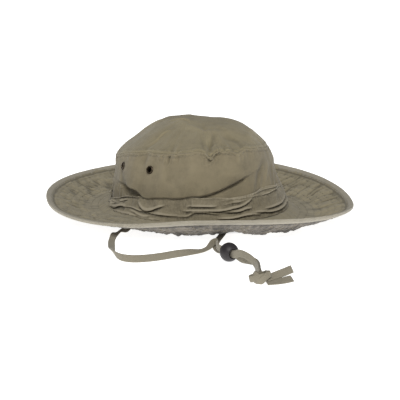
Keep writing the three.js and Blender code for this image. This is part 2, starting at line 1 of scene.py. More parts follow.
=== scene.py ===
"""Soft cotton safari hat with a crumpled loop band, a stitched brim and a loose chin strap.

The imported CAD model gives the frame. Each operator makes one piece of the hat over it.
Sizes in the tables are millimetres and degrees from the right side (+X) toward the back (+Y).
"""

import math

import bmesh
import bpy
import numpy as np
from bpy.props import FloatProperty, FloatVectorProperty, IntProperty, PointerProperty
from mathutils import Matrix, Vector


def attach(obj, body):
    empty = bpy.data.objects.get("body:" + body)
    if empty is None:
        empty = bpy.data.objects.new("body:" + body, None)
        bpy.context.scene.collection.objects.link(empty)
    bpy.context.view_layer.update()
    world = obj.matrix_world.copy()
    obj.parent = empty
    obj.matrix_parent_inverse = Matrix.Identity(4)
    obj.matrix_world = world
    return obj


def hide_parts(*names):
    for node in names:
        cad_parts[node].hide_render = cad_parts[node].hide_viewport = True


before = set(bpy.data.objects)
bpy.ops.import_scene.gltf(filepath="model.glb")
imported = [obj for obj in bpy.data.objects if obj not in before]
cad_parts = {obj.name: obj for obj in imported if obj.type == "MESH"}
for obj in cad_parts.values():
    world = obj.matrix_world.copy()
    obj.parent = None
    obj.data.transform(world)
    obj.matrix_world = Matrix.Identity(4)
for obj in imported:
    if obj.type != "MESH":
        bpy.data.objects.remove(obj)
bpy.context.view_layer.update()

bl_info = {
    "name": "Safari Hat",
    "version": (1, 0, 0),
    "blender": (4, 5, 0),
    "location": "3D View > Sidebar > Hat",
    "description": "Builds a washed cotton safari hat and its chin strap over its CAD frame",
    "category": "Add Mesh",
}

MM = 0.001
BODY = "root"
WAVE_AT_SCALE_1 = math.tau / 20  # metres that one wave of a wave texture takes at scale 1

# ---------------------------------------------------------------- sizes of the hat

HEAD_HALF_WIDTH = 84
HEAD_HALF_LENGTH = 99
MM_A_DEGREE = 1.6  # along the wall, on average

BRIM_FOOT_TOP = 8.0
BRIM_SEAT = 1.5
BRIM_VALLEY = 19
BRIM_THICKNESS = 1.9
BRIM_LAST = 66
BINDING_MIDDLE = 65.3
BINDING_OUTER = 68.5
ROW_SPACING = 7.0
ROW_FIRST = 8.0
ROW_COUNT = 8

WALL_FOOT = 8.3
WALL_START = WALL_FOOT - 0.4
WALL_THICKNESS = 1.6
CROWN_APEX = 95.8
BAND_BOTTOM = 8.9
BAND_THICKNESS = 0.8
TACK_COUNT = 9
TACK_TURN = 19
EYELET_HOLE = 3.4  # radius
EYELET_HOLE_DEPTH = 8

TAPE_WIDTH = 6.5
TAPE_THICKNESS = 0.95
KNOT_THICKNESS = 1.1
PAIR_SPACING = 0.8
BALL_RADIUS = 8.2
BALL_BORE = 3.95  # radius

# Radii at which noise is laid round each cloth
WALL_ROUND = 92
TIP_ROUND = 80
BRIM_ROUND = 130
BINDING_ROUND = 150

# Directions of the marked places, in degrees
BUNCH_AT = 156
PLEATS_AT = 203
SLUMP_AT = 204
SEAM_KNOT_AT = 232
SIDE_KNOT_AT = 246

# Facets round the hat and across it; the crown's number round it is a setting
CROWN_LEVELS = 84
BAND_GRID = (720, 64)
BRIM_GRID = (640, 72)
BINDING_GRID = (720, 30)
EYELET_STEPS = 32
BALL_STEPS = 48
TAPE_STEPS = 8  # between two rows of a route

# Flat sizes of the cloths, round the hat and across, in metres
WALL_CLOTH = (0.576, 0.066)
BAND_CLOTH = (0.6, 0.03)
BRIM_CLOTH = (0.79, 0.068)
BINDING_CLOTH = (0.97, 0.014)

# Heights of the brim's low ring and of its edge
VALLEY, EDGE = 1, 2
BRIM_ROWS = [
    # at, valley, edge
    (0, 0, 21.4),
    (30, 0, 25),
    (60, 0, 22.2),
    (90, 0, 18.8),
    (120, 0, 16.8),
    (140, 0, 14.8),
    (158, 0.6, 12.2),
    (172, 4.5, 12),
    (186, 6.2, 13),
    (202, 3.4, 16.6),
    (214, 1.6, 21),
    (224, 2, 24.5),
    (231, 3.8, 25.2),
    (238, 5.4, 25.2),
    (245, 3.8, 24.6),
    (253, 0.4, 23.6),
    (270, -0.5, 19.5),
    (290, -0.5, 15),
    (310, -0.5, 11.2),
    (328, -0.5, 14.6),
    (344, 0, 18.4),
]

# Crown wall: seam height, how far it leans in, how late, the slump fold, its bulge, the tip's fullness
SEAM, LEAN, LATE, FOLD, BULGE, FULL = range(1, 7)
CROWN_ROWS = [
    # at, seam, lean, late, fold, bulge, full
    (0, 73, 15, 1.3, 36, 1.5, 2.8),
    (30, 75, 13, 1.5, 36, 2, 2.6),
    (60, 75, 11, 1.7, 36, 2, 2.4),
    (90, 69, 10, 2, 35, 2, 2.1),
    (118, 58.5, 6.5, 1.8, 32, 0, 2.0),
    (138, 57, 5, 1.0, 36, 0, 2.04),
    (156, 61.5, 6, 1.6, 33, 0.2, 2.15),
    (168, 65, 7, 2, 33, 2.6, 2.05),
    (177, 67.5, 8, 2, 32.6, 5, 2.1),
    (184, 68.6, 8.7, 2, 30.6, 5, 2.1),
    (189, 69.2, 9.1, 1.9, 26, 5, 2.15),
    (200, 70.5, 10, 1.8, 29, 5, 2.2),
    (220, 73, 11, 1.6, 32, 5, 2.3),
    (232, 73.5, 12, 1.5, 35, 3.6, 2.4),
    (246, 74.5, 13, 1.4, 43, 2.8, 2.5),
    (260, 75, 14, 1.3, 50, 1.0, 2.55),
    (274, 74, 16.3, 1.2, 53, 0.6, 2.65),
    (300, 71, 19.3, 1.1, 46, 0, 2.8),
    (318, 69, 19.6, 1, 40, 0, 2.9),
    (336, 69, 18.2, 1.1, 38, 0.5, 2.95),
]

# Soft dents and ridges of the wall; depth is inward, slant is degrees a millimetre of height
WALL_FOLDS = [
    # at, span, height, reach, depth, slant
    (184, 4, 64, 9, 2.6, 0),
    (176, 9, 52, 16, -1.6, 0),
    (206, 7, 50, 12, 1.8, -0.5),
    (235, 6, 68, 9, 3.4, 0),
    (226, 6, 60, 10, -1.6, 0.3),
    (248, 8, 56, 10, -2, 0.4),
    (272, 5, 38, 14, 2.6, 0.6),
    (284, 5, 36, 14, -2.2, 0.5),
    (296, 5, 36, 14, 2.2, 0.3),
    (318, 9, 56, 7, -2.6, 0),
    (138, 20, 40, 15, 1, 0),
    (100, 10, 46, 14, 2.6, 0.3),
    (66, 9, 52, 14, -2, 0),
    (40, 8, 44, 14, 2.4, -0.3),
    (10, 9, 42, 12, -1.8, 0),
]

# Small rises and dips of the seam round the top of the wall
SEAM_WAVES = [
    # at, span, rise
    (186, 3.5, 1.2),
    (205, 6, -1.0),
    (222, 3.5, 1.6),
    (230.5, 2.7, -4.6),
    (236, 2.5, 1.2),
    (251, 4, -2.4),
    (259, 3.5, 1.0),
    (290, 6, -0.8),
    (330, 7, 1.2),
    (15, 6, -1.4),
    (52, 8, 1.4),
    (84, 5, -1.6),
    (112, 6, 1.0),
    (150, 6, -1.0),
]

# Narrow creases of the wall: each runs through its points and stands out by its last column, which also
# paints the cloth darker in sunken creases as shade and paler on raised ones as highlight
WALL_CREASES = [
    # above, below, then rows of angle, height, out
    (1.2, 1.6, [(225.5, 73, 0.4), (228.5, 70.6, 1.9), (231.2, 67, 1.6)]),
    (1.6, 1.0, [(231.2, 67, 1.6), (233.4, 70.2, 2.2), (237, 74, 0.6)]),
    (4.0, 4.0, [(282, 62, 0), (275, 57, -1.6), (268, 46, -2.2), (264, 36, -1.2)]),
    (3.5, 3.5, [(290, 62, 0), (284, 55, 1.6), (277, 44, 1.8), (271, 34, 0.8)]),
    (3.0, 3.0, [(300, 60, 0), (293, 52, -1.6), (286, 42, -1.8), (281, 34, -0.6)]),
    (5.0, 7.0, [(222, 66, 0), (219, 54, 1.3), (213, 40, 1.0), (209, 33, 0.4)]),
    (2.2, 2.2, [(184, 66, 0.2), (184.5, 60, -1.4), (186, 54, 0)]),
    # This wide one sinks the recess under the slumped lip and paints its shade dark
    (0.7, 7.5, [(167, 29, -0.8), (171, 30, -2.6), (176, 30, -3.4), (181, 29, -3.4), (185, 27, -2.8),
                (188.5, 25, -0.8)]),
    (1.3, 1.8, [(228, 32, -0.4), (236, 36.5, -1.8), (246, 42, -2.2), (253, 46.4, -1.6), (258, 49, -0.3)]),
    (2.0, 2.0, [(163, 33, -0.4), (168, 30.8, -1.6), (172, 28.6, -1.4)]),
    (4.0, 4.0, [(165, 60, 0), (163, 48, -1.2), (168, 36, -1.4), (176, 29, -1.2)]),
    (2.5, 5.0, [(204, 63, 0), (200, 54, 0.9), (204, 44, 0.9), (214, 38, 0)]),
    (3.0, 5.0, [(236, 58, 0), (243, 53, 1.0), (252, 52, 0.9), (262, 57, 0)]),
    (4.0, 5.0, [(330, 60, 0), (322, 50, 1.4), (318, 40, 0.9), (312, 33, 0)]),
    (4.0, 4.0, [(350, 66, 0), (355, 54, -1.4), (352, 42, -1.6), (346, 34, 0)]),
    (3.0, 5.0, [(25, 64, 0), (34, 52, 1.5), (36, 42, 1.3), (30, 33, 0.4)]),
    (4.0, 4.0, [(60, 62, 0), (52, 54, -1.4), (50, 44, -1.4), (56, 36, 0)]),
    (3.0, 5.0, [(92, 60, 0), (84, 52, 1.4), (74, 44, 1.4), (68, 36, 0)]),
    (4.0, 4.0, [(124, 52, 0), (118, 44, -1.5), (108, 38, -1.2), (100, 34, 0)]),
]

# Dents and ridges of the tip; out is the share of the way from its middle to the seam
TIP_FOLDS = [
    # at, out, radius, drop
    (234, 0.9, 9, 3.2),
    (256, 0.82, 15, 4),
    (185, 0.88, 11, 3.2),
    (214, 0.62, 20, 1.8),
    (100, 0.55, 24, -2.5),
    (20, 0.7, 20, 2.4),
    (320, 0.6, 22, -1.5),
    (140, 0.75, 16, 2.2),
    (92, 0.5, 9, -1.4),
    (62, 0.46, 9, 1.3),
    (0, 0.35, 14, 1.0),
]

# Creases of the tip in plan; the last column is how far the crease stands up, which also paints raised
# creases paler as highlight and sunken ones darker as shade
TIP_CREASES = [
    # near side, far side, then rows of x, y, up
    (2.6, 6.0, [(-8, 30, 0), (-24, 0, 0.9), (-29, -31, 1.2), (-21, -46, 0.9), (-10, -52, 0)]),
    (0.8, 1.2, [(-70, 2, 0), (-59, -3, 2.3), (-50, -4, 2.4), (-40, -7, 0)]),
    (0.8, 1.3, [(-26, 22, 0), (-22, 8, 2.0), (-19, -6, 2.2), (-24, -16, 0)]),
    (2.6, 2.6, [(-35, -42, 0), (-38, -48, -1.0), (-43, -56, -1.9), (-49, -63, -1.2)]),
    (3.0, 2.2, [(-20, -46, 0), (-29, -54, -1.6), (-41, -62, -2.0)]),
    (2.6, 3.6, [(-28, -44, 0), (-36, -54, 1.4), (-46, -63, 1.2)]),
    (3.0, 3.0, [(-22, -58, 0.4), (-12, -66, -1.4), (-14, -80, -1.8)]),
    (4.0, 5.0, [(-2, -74, 0), (10, -66, 1.2), (28, -51, 1.2), (40, -40, 0)]),
    (4.0, 7.0, [(40, 62, 0), (20, 44, 1.3), (6, 18, 1.1), (-8, 0, 0)]),
    (3.0, 5.0, [(58, 30, 0), (42, 20, -1.2), (24, 22, -1.2), (4, 34, 0)]),
    (3.0, 5.0, [(-30, 70, 0), (-18, 52, 1.2), (-14, 34, 0.8), (-22, 18, 0)]),
    (4.0, 6.0, [(62, -20, 0), (48, -8, 1.2), (34, -2, 1.0), (18, -10, 0)]),
]

# Long folds of the loop band: lips that hang over the cloth below them; each lip's crest is painted pale as
# wear and highlight, and the tuck under it dark as painted shade
BAND_FOLDS = [
    # rows of angle, height, out
    [(154.5, 15.5, 0.8), (164.8, 19.8, 1.2), (173, 24, 1.4), (184, 25.8, 0.8)],
    [(184.5, 21.4, 0.4), (186.5, 19.6, 1.4), (189, 17.8, 1.9), (192, 17.2, 2.0), (195.5, 18.1, 1.9),
     (199.8, 20.8, 1.5), (203.8, 22.2, 0.4)],
    [(196.2, 14.6, 0.4), (200.2, 15.2, 1.2), (206.2, 14.6, 1.0), (212.2, 14.2, 0.5)],
    [(163, 8.9, 0.8), (165.2, 9.5, 1.4), (173.2, 10.3, 1.7), (179.5, 11.1, 1.6), (185.2, 11.3, 1.6),
     (190.5, 10.9, 1.5), (196.8, 10.4, 1.2), (201.8, 9.8, 0.4)],
    [(153, 9.5, 1.6), (158.2, 11.1, 2.4), (164, 12.4, 2.6), (168, 14.5, 2.4), (171, 15.5, 1.8),
     (174.5, 15.2, 1.0)],
    [(155.8, 14.9, 0.8), (163.5, 17.4, 1.2), (168.8, 18.1, 1.2), (172.8, 20.1, 0.8)],
    [(156, 12.8, 1.0), (163, 14.5, 1.3), (168.5, 16.2, 1.0), (172, 15.4, 0.6)],
    [(216.5, 22.3, 0.4), (218.8, 23.2, 1.2), (223.5, 23.9, 1.6), (229, 24.2, 1.6), (234.5, 23.7, 0.8)],
    [(214.8, 18.8, 0.5), (219, 19.2, 1.5), (227.2, 20.2, 1.7), (238, 20.7, 1.8), (244.8, 22.6, 1.9),
     (249.5, 23.8, 2.0), (253.8, 25.7, 2.0), (258.2, 28.5, 1.2)],
    [(238, 18.2, 0.5), (242, 18.9, 1.4), (249.2, 19.4, 1.8), (253.2, 20.6, 1.6), (257.5, 20, 0.8)],
    [(212.2, 13.8, 0.6), (217.2, 14.2, 1.0), (219.5, 16, 1.3), (221.5, 17.7, 1.4), (227.5, 18.5, 1.4),
     (235.8, 16.5, 0.5)],
    [(235.5, 12.2, 0.4), (239.8, 12.8, 1.2), (244.5, 13.1, 1.5), (254, 14.7, 1.5), (263.8, 13.1, 0.8)],
    [(257.8, 15.6, 0.5), (264.5, 15.8, 1.3), (274.8, 14.2, 1.5), (284.2, 14.4, 1.6), (299.5, 15.2, 1.5),
     (314, 16.5, 0.6)],
    [(238, 28.4, 0.3), (250, 29.6, 0.7), (258, 30.4, 0.8), (266, 30.8, 0.6), (276, 31.2, 0.3)],
    [(267.5, 17.4, 0.4), (271.8, 18.1, 1.2), (280, 18.9, 1.6), (289.5, 19.2, 1.4), (304, 20.5, 0.6)],
    [(238, 23.9, 0.3), (245, 26.8, 1.0), (249.8, 27.3, 1.2), (255, 28.3, 0.8)],
    [(322, 13, 0.3), (336, 15, 2.0), (350, 17.5, 2.2), (4, 16.5, 2.0), (20, 14, 0.4)],
    [(330, 25, 0.3), (345, 23, 1.8), (0, 24, 2.0), (16, 25.5, 0.6)],
    [(18, 19, 0.4), (34, 21, 2.2), (50, 20.4, 2.2), (66, 18, 1.6), (84, 19, 0.5)],
    [(26, 12.5, 0.3), (42, 13.6, 1.8), (58, 13.2, 2.0), (74, 12.4, 0.5)],
    [(62, 26, 0.4), (78, 24.6, 1.6), (96, 24.8, 1.8), (112, 25, 0.5)],
    [(76, 14.6, 0.4), (92, 16, 2.2), (106, 17.6, 2.4), (120, 18, 1.8), (136, 16, 0.6)],
    [(108, 12, 0.4), (122, 12.4, 1.9), (136, 13.6, 2.2), (148, 12.6, 0.8)],
    [(116, 22.5, 0.4), (130, 21, 1.8), (143, 18, 2.0), (154, 16.5, 0.8)],
]

# Fine folds between the long ones, where the band is bunched at the left
BAND_FINE_FOLDS = [
    [(172.8, 14.4, 0.4), (177.2, 15.5, 1.4), (182.8, 16, 2.2), (187, 15.4, 2.3), (191.5, 15, 2.0),
     (196.2, 14.8, 1.5), (200.2, 14.9, 0.6)],
    [(179.2, 13.6, 0.5), (183.2, 13.6, 1.8), (187.2, 12.8, 2.4), (191.2, 12.3, 2.2), (195, 12.6, 0.8)],
    [(145, 9.7, 1.0), (155.2, 11.9, 2.2), (161.5, 14.4, 2.0), (165.5, 16.7, 0.8)],
    [(164.2, 15.3, 0.8), (168, 17.7, 2.0), (172.5, 20, 2.0), (175, 20.4, 0.5)],
    [(150.8, 13.6, 0.8), (158.5, 17.2, 1.6), (166.2, 20.4, 1.8), (172.5, 23.2, 1.4), (178.8, 25, 1.0)],
    [(151, 11.6, 0.6), (157, 14.2, 2.0), (162, 15.4, 1.6), (166, 18.4, 0.6)],
    [(265.5, 30, 0.3), (269, 30.3, 1.3), (274.5, 31.2, 1.8), (279.2, 32.4, 1.8), (284, 32.8, 1.5),
     (301, 31, 0.8)],
    [(259, 32.2, 0.3), (263.2, 33.1, 0.7), (272.5, 34.4, 0.9), (279, 35, 0.9), (287.8, 34.8, 0.5)],
    [(214, 17, 0.4), (213.4, 21, 1.2), (213.8, 27, 0.6)],
    [(216.2, 16, 0.4), (216.4, 21, 1.2), (216, 28, 0.6)],
    [(259.6, 19, 0.4), (259.2, 24, 1.4), (259.8, 30, 0.6)],
]

# Height of the band's upper edge
BAND_TOP_ROWS = [
    # at, top
    (0, 31),
    (60, 31),
    (100, 30),
    (118, 23),
    (133, 11),
    (141, 11),
    (150, 14),
    (157, 17),
    (165, 20.3),
    (173, 24.5),
    (183, 25.8),
    (189, 26.3),
    (200, 29.4),
    (214, 31),
    (250, 31.5),
    (262, 34),
    (277, 37),
    (292, 35),
    (310, 32),
]

# How far the band's lower edge flares out over the brim
BAND_FLARE_ROWS = [
    # at, flare
    (0, 0.8),
    (60, 1.0),
    (110, 1.4),
    (140, 2.4),
    (156, 4.2),
    (170, 6.4),
    (186, 7.4),
    (200, 5.4),
    (216, 2.6),
    (240, 1.0),
    (300, 0.8),
]

EYELET_ROWS = [
    # name, at, height
    ("eyelet_left_back", 165, 51),
    ("eyelet_left_front", 190.5, 53),
    ("eyelet_right_front", 348, 54),
    ("eyelet_right_back", 15, 54),
]

# Chin strap routes. The width of the tape points toward `turn` and `lift` degrees up.
LEFT_ROUTE = [
    # x, y, z, turn, lift
    (-80.4, 1, 20, 90, 0),
    (-81.1, 1, 5.6, 90, 0),
    (-82.6, 0.5, 2.2, 94, 0),
    (-88, -3.5, 0.9, 116, 0),
    (-100, -13.5, 0.8, 129, 0),
    (-112, -24, 1.4, 127, 6),
    (-120.5, -29.8, 2.2, 113, 28),
    (-128.5, -31.6, 2.2, 106, -14),
    (-135.5, -34.6, 2.0, 121, 20),
    (-142.5, -40.8, 1.1, 136, 4),
    (-150, -49, 0.8, 142, 0),
    (-158, -59.5, 0.8, 145, 3),
    (-167, -72, 1.7, 140, 22),
    (-174.5, -84, 2.9, 128, 52),
    (-179.3, -95.5, 3.3, 112, 72),
    (-180, -105, 3.3, 92, 76),
    (-175.5, -113.5, 3.3, 75, 76),
    (-166, -119.8, 3.3, 70, 72),
    (-153, -124, 3.3, 72, 70),
    (-139, -126.4, 3.3, 76, 70),
    (-125, -128.6, 2.8, 78, 42),
    (-113, -130.2, 2.0, 84, 12),
    (-104, -129.2, 2.6, 96, 2),
    (-97.5, -126.3, 3.8, 108, 6),
    (-92.8, -124.6, 4.8, 110, 40),
    (-91.2, -126.6, 5.4, 110, 86),
    (-94.2, -130.6, 5.6, 140, 86),
    (-101.2, -137, 6.6, 150, 87),
    (-107.2, -144.3, 7.9, 160, 88),
    (-110.5, -151.3, 8.1, 168, 88),
]
RIGHT_ROUTE = [
    (79.2, -1, 20, -90, 0),
    (81.1, -1, 5.6, -90, 0),
    (78.6, -1.8, 1.6, -84, 0),
    (70, -6.5, 0.8, -62, 0),
    (52, -18, 0.8, -57, 0),
    (32, -32, 0.8, -55, 0),
    (12, -47, 0.8, -53, 0),
    (-8, -62, 0.8, -54, 0),
    (-26, -75.5, 0.8, -54, 0),
    (-44, -88.8, 0.8, -54, 0),
    (-61, -101, 0.8, -53, 0),
    (-74, -110, 0.8, -51, 0),
    (-84, -118, 1.2, -48, 0),
    (-91, -125.2, 1.5, -43, -6),
    (-96.6, -132, 1.8, -37, 0),
    (-101, -139, 2.4, -30, 18),
    (-104.4, -146, 3.9, -27, 46),
    (-107.8, -152.2, 6.9, -24, 76),
]
# Both tapes side by side through the ball and down to the knot.
# Spread parts their faces, and splay parts their edges.
PAIR_ROUTE = [
    # x, y, z, turn, lift, spread, splay
    (-111.1, -157.2, 8.1, -12, 88, 0, 0),
    (-112.8, -165.2, 8.2, -12, 89, 0, 0),
    (-114.5, -173.4, 8.2, -12, 89, 0, 0.1),
    (-114.8, -181, 8.4, -4, 87, 0.6, 2.6),
    (-114.6, -188.5, 8.4, -2, 86, 1.2, 2.4),
    (-115.4, -196.5, 8.0, -14, 82, 0.9, 1.0),
    (-119, -204.2, 7.2, -32, 74, 0.1, 0),
    (-124, -210.4, 6.6, -39, 70, 0, 0),
    (-128.8, -215.6, 6.1, -40, 70, 0, 0),
    (-132.2, -219.8, 5.6, -40, 66, 0, 0),
]
UPPER_TAIL_ROUTE = [
    (-134.6, -229.6, 4.3, 46, 26),
    (-128.1, -231.4, 5.6, 48, 38),
    (-119.7, -233.6, 7.1, 50, 54),
    (-110.2, -234.9, 8.6, 52, 58),
]
LOWER_TAIL_ROUTE = [
    (-136.4, -232.4, 2.0, 46, 14),
    (-130.6, -235.1, 2.1, 48, 20),
    (-122.8, -237.6, 2.3, 50, 28),
    (-114.4, -239, 2.5, 52, 32),
]
BALL_CENTRE = Vector((-112.8, -165.2, 8.2))
BALL_AXIS = Vector((-0.204, -0.979, 0)).normalized()
KNOT_CENTRE = Vector((-137, -226, 5.4))
KNOT_TURN = -42
KNOT_WRAPS = [
    # half length, half depth, width, roll, lean, shift along, shift up
    (8.4, 2.9, 5.4, -14, 0, -0.4, 0.6),
    (6.6, 3.3, 5.4, -44, 8, 1.4, -1.0),
    (5.0, 3.0, 4.8, 34, -6, -1.2, 0.2),
]

# Stage, in metres and degrees
FLOOR_HALF = 60
FLOOR_GLOW = (0.095, 0.112)  # none up to the first distance from the middle, full from the second
KEY_FROM = Vector((-0.5, -0.5, 0.8))  # the way to the light
CAMERA_TURN = -42
CAMERA_LIFT = 13
CAMERA_AIM = Vector((0, 0, 0.006))


# ---------------------------------------------------------------- tables and curves


def read_round(rows, column, angle):
    """A column of a table of directions, read at any angles by a closed smooth curve."""
    at = np.array([row[0] for row in rows], float)
    value = np.array([row[column] for row in rows], float)
    at = np.concatenate([at[-2:] - 360, at, at[:2] + 360])
    value = np.concatenate([value[-2:], value, value[:2]])
    angle = np.asarray(angle, float) % 360
    c = np.searchsorted(at, angle, side="right")
    a, b, d = c - 2, c - 1, c + 1
    gap = at[c] - at[b]
    share = (angle - at[b]) / gap
    slope_b = (value[c] - value[a]) / (at[c] - at[a]) * gap
    slope_c = (value[d] - value[b]) / (at[d] - at[b]) * gap
    square, cube = share**2, share**3
    return (
        value[b] * (2 * cube - 3 * square + 1)
        + slope_b * (cube - 2 * square + share)
        + value[c] * (3 * square - 2 * cube)
        + slope_c * (cube - square)
    )


def turn_between(angle, other):
    """Degrees from `other` to `angle`, the short way round."""
    return (angle - other + 540) % 360 - 180


def bell(distance):
    """1 at no distance, fading to nothing by about 2."""
    return np.exp(-np.square(distance))


def ease(value, low, high):
    """A soft step from 0 at `low` to 1 at `high`."""
    share = np.clip((value - low) / (high - low), 0, 1)
    return share * share * (3 - 2 * share)


def mix(a, b, share):
    """`a` at share 0 and `b` at share 1."""
    return a + (b - a) * share


def swelled(value, power):
    """A sine or cosine with fuller shoulders the smaller the power, for squarish round sections."""
    return np.copysign(np.abs(value) ** power, value)


def smooth_noise(x, y, z, seed):
    """Gradient noise of about -1 to 1 at arrays of points."""
    rng = np.random.default_rng(seed)
    shuffle = rng.permutation(256)
    slopes = rng.normal(size=(256, 3))
    slopes /= np.linalg.norm(slopes, axis=1)[:, None]
    spots = np.stack(np.broadcast_arrays(x, y, z), axis=-1).astype(float)
    cell = np.floor(spots).astype(int)
    inside = spots - cell
    fade = inside**3 * (inside * (inside * 6 - 15) + 10)
    total = np.zeros(spots.shape[:-1])
    for corner in np.ndindex(2, 2, 2):
        step = np.array(corner)
        at_x, at_y, at_z = np.moveaxis((cell + step) & 255, -1, 0)
        slope = slopes[shuffle[(shuffle[(shuffle[at_x] + at_y) & 255] + at_z) & 255]]
        weight = np.where(step == 1, fade, 1 - fade).prod(axis=-1)
        total += weight * (slope * (inside - step)).sum(axis=-1)
    return total * 1.7


def round_noise(angle, across, radius, wide, long, seed):
    """Noise round the hat that closes on itself: `wide` mm round, `long` mm across."""
    turn = np.radians(angle)
    reach = radius / wide
    x, y = np.cos(turn) * reach + 0.37, np.sin(turn) * reach + 0.61
    return smooth_noise(x, y, np.asarray(across) / long, seed)


def smooth_line(rows, steps):
    """A smooth curve through rows of numbers, with `steps` points a row."""
    rows = np.array(rows, float)
    padded = np.vstack([2 * rows[0] - rows[1], rows, 2 * rows[-1] - rows[-2]])
    found = []
    for index in range(len(rows) - 1):
        a, b, c, d = padded[index : index + 4]
        for step in range(steps):
            t = step / steps
            bend, twist = 2 * a - 5 * b + 4 * c - d, 3 * b - a - 3 * c + d
            found.append(0.5 * (2 * b + (c - a) * t + bend * t**2 + twist * t**3))
    found.append(rows[-1])
    return np.array(found)


def line_field(x, y, line, near, far):
    """How strongly each point feels a line: its last column on it, fading to either side of it.

    `near` is the reach on the line's left hand and `far` on its right hand.
    """
    closest = np.full(np.shape(x), 1e9)
    strength = np.zeros(np.shape(x))
    left = np.ones(np.shape(x), bool)
    for (x0, y0, s0), (x1, y1, s1) in zip(line[:-1], line[1:]):
        dx, dy = x1 - x0, y1 - y0
        share = np.clip(((x - x0) * dx + (y - y0) * dy) / (dx * dx + dy * dy + 1e-9), 0, 1)
        ex, ey = x - x0 - share * dx, y - y0 - share * dy
        away = np.hypot(ex, ey)
        nearer = away < closest
        closest = np.where(nearer, away, closest)
        strength = np.where(nearer, mix(s0, s1, share), strength)
        left = np.where(nearer, dx * ey - dy * ex > 0, left)
    return strength * bell(closest / np.where(left, near, far))


def round_line_field(angle, height, rows, near, far):
    """line_field on a wall: the rows are angle, height and strength."""
    line = smooth_line(rows_unwound(rows), 4)
    centre = rows[0][0]
    x = turn_between(angle, centre) * MM_A_DEGREE
    line[:, 0] = (line[:, 0] - centre) * MM_A_DEGREE
    if line[-1, 0] < line[0, 0]:
        near, far = far, near
    return line_field(x, height, line, near, far)


def rows_unwound(rows):
    """The rows with angles that run on past 360 degrees instead of starting again."""
    found = [rows[0]]
    for row in rows[1:]:
        before = found[-1][0]
        found.append((before + float(turn_between(row[0], before)), *row[1:]))
    return found


# ---------------------------------------------------------------- surfaces of the hat, in millimetres


def oval_point(angle, offset):
    """Plan position of points off the head oval."""
    turn = np.radians(angle)
    out_x, out_y = HEAD_HALF_LENGTH * np.cos(turn), HEAD_HALF_WIDTH * np.sin(turn)
    length = np.hypot(out_x, out_y)
    x = HEAD_HALF_WIDTH * np.cos(turn) + out_x / length * offset
    y = HEAD_HALF_LENGTH * np.sin(turn) + out_y / length * offset
    return x, y


def brim_middle(angle, offset):
    """Height of the brim's cloth: flat at its seat, down to the low ring, up to the edge."""
    seat = BRIM_FOOT_TOP - BRIM_THICKNESS / 2
    valley = read_round(BRIM_ROWS, VALLEY, angle) - BRIM_THICKNESS / 2
    edge = read_round(BRIM_ROWS, EDGE, angle)
    out = np.clip((offset - BRIM_VALLEY) / (BINDING_OUTER - BRIM_VALLEY), 0, None)
    slope = valley + (edge - valley) * out**1.35
    inner = mix(seat, valley, ease(offset, BRIM_SEAT, BRIM_VALLEY))
    return np.where(offset > BRIM_VALLEY, slope, inner)


def brim_pucker(angle, offset):
    """Puckers of the stitched brim: long radial folds, short crossed ones and the rows' own grooves."""
    sway = 3.5 * round_noise(angle, offset, 120, 60, 30, 3)
    spun = angle + sway
    long_folds = round_noise(spun, offset, BRIM_ROUND, 4.6, 42, 5)
    slant = offset * 0.22
    crossed = round_noise(spun + slant, offset, BRIM_ROUND, 5, 11, 6)
    crossed = crossed + round_noise(spun - slant, offset, BRIM_ROUND, 5, 11, 8)
    broad = round_noise(angle, offset, BRIM_ROUND, 15, 12, 7)
    fine = round_noise(spun, offset, BRIM_ROUND, 2.5, 22, 9)
    ray = 0.5 - 1.6 * np.abs(long_folds)
    right = bell(turn_between(angle, 320) / 75)
    between = 0.5 - 0.5 * np.cos(2 * np.pi * (offset - ROW_FIRST) / ROW_SPACING)
    outward = ease(offset, 10, 34) * (1 - 0.8 * ease(offset, 57, 61))
    groove = sum(bell((offset - ROW_FIRST - ROW_SPACING * row) / 0.9) for row in range(ROW_COUNT))
    edge = bell((offset - BINDING_MIDDLE + 4.2) / 1.1)
    left_foot = 1.2 * bell(turn_between(angle, 146) / 22) * bell((offset - 14) / 13)
    near_low = 1.3 * bell(turn_between(angle, 236) / 50) * bell((offset - 30) / 16)
    return (
        (mix(0.8, 2.2, right) * outward + left_foot) * ray
        + (0.15 + mix(1.25, 0.45, right) * outward) * crossed * (0.45 + 0.55 * between)
        + (0.25 + 0.45 * outward) * fine
        + (0.3 + 0.6 * outward + near_low) * broad
        + 0.15 * between
        - 0.15 * groove
        - 0.9 * edge
    )


def brim_height(angle, offset):
    """Height of the brim's middle with its puckers, and the puckers alone."""
    pucker = brim_pucker(angle, offset)
    height = np.maximum(BRIM_THICKNESS / 2, brim_middle(angle, offset) + pucker)
    return height, pucker


def seam_height(angle):
    """Height of the seam between wall and tip, with its small waves."""
    height = read_round(CROWN_ROWS, SEAM, angle)
    for at, span, rise in SEAM_WAVES:
        height = height + rise * bell(turn_between(angle, at) / span)
    return height


def calm_near_eyelets(angle, height):
    """1 on open cloth and 0 at an eyelet, where the cloth is held flat."""
    calm = np.ones(np.shape(angle))
    for _, at, level in EYELET_ROWS:
        away = np.hypot(turn_between(angle, at) * MM_A_DEGREE, height - level)
        calm = calm * (1 - bell(away / 7))
    return calm


def wall_offset(angle, height):
    """How far the crown wall stands off the head oval, without its small wrinkles."""
    seam = read_round(CROWN_ROWS, SEAM, angle)
    fold = read_round(CROWN_ROWS, FOLD, angle)
    bulge = read_round(CROWN_ROWS, BULGE, angle)
    share = np.clip((height - WALL_FOOT) / (seam - WALL_FOOT), 0, 1.02)
    offset = -read_round(CROWN_ROWS, LEAN, angle) * share ** read_round(CROWN_ROWS, LATE, angle)
    over = height - fold
    offset = offset + bulge * ease(over, -0.6, 2.6) * bell(np.maximum(over, 0) / 22)
    for at, span, level, reach, depth, slant in WALL_FOLDS:
        turn = turn_between(angle, at + slant * (height - level))
        dent = bell(turn / span) * bell((height - level) / reach)
        offset = offset - depth * dent * ease(height, 27, 35)
    return offset


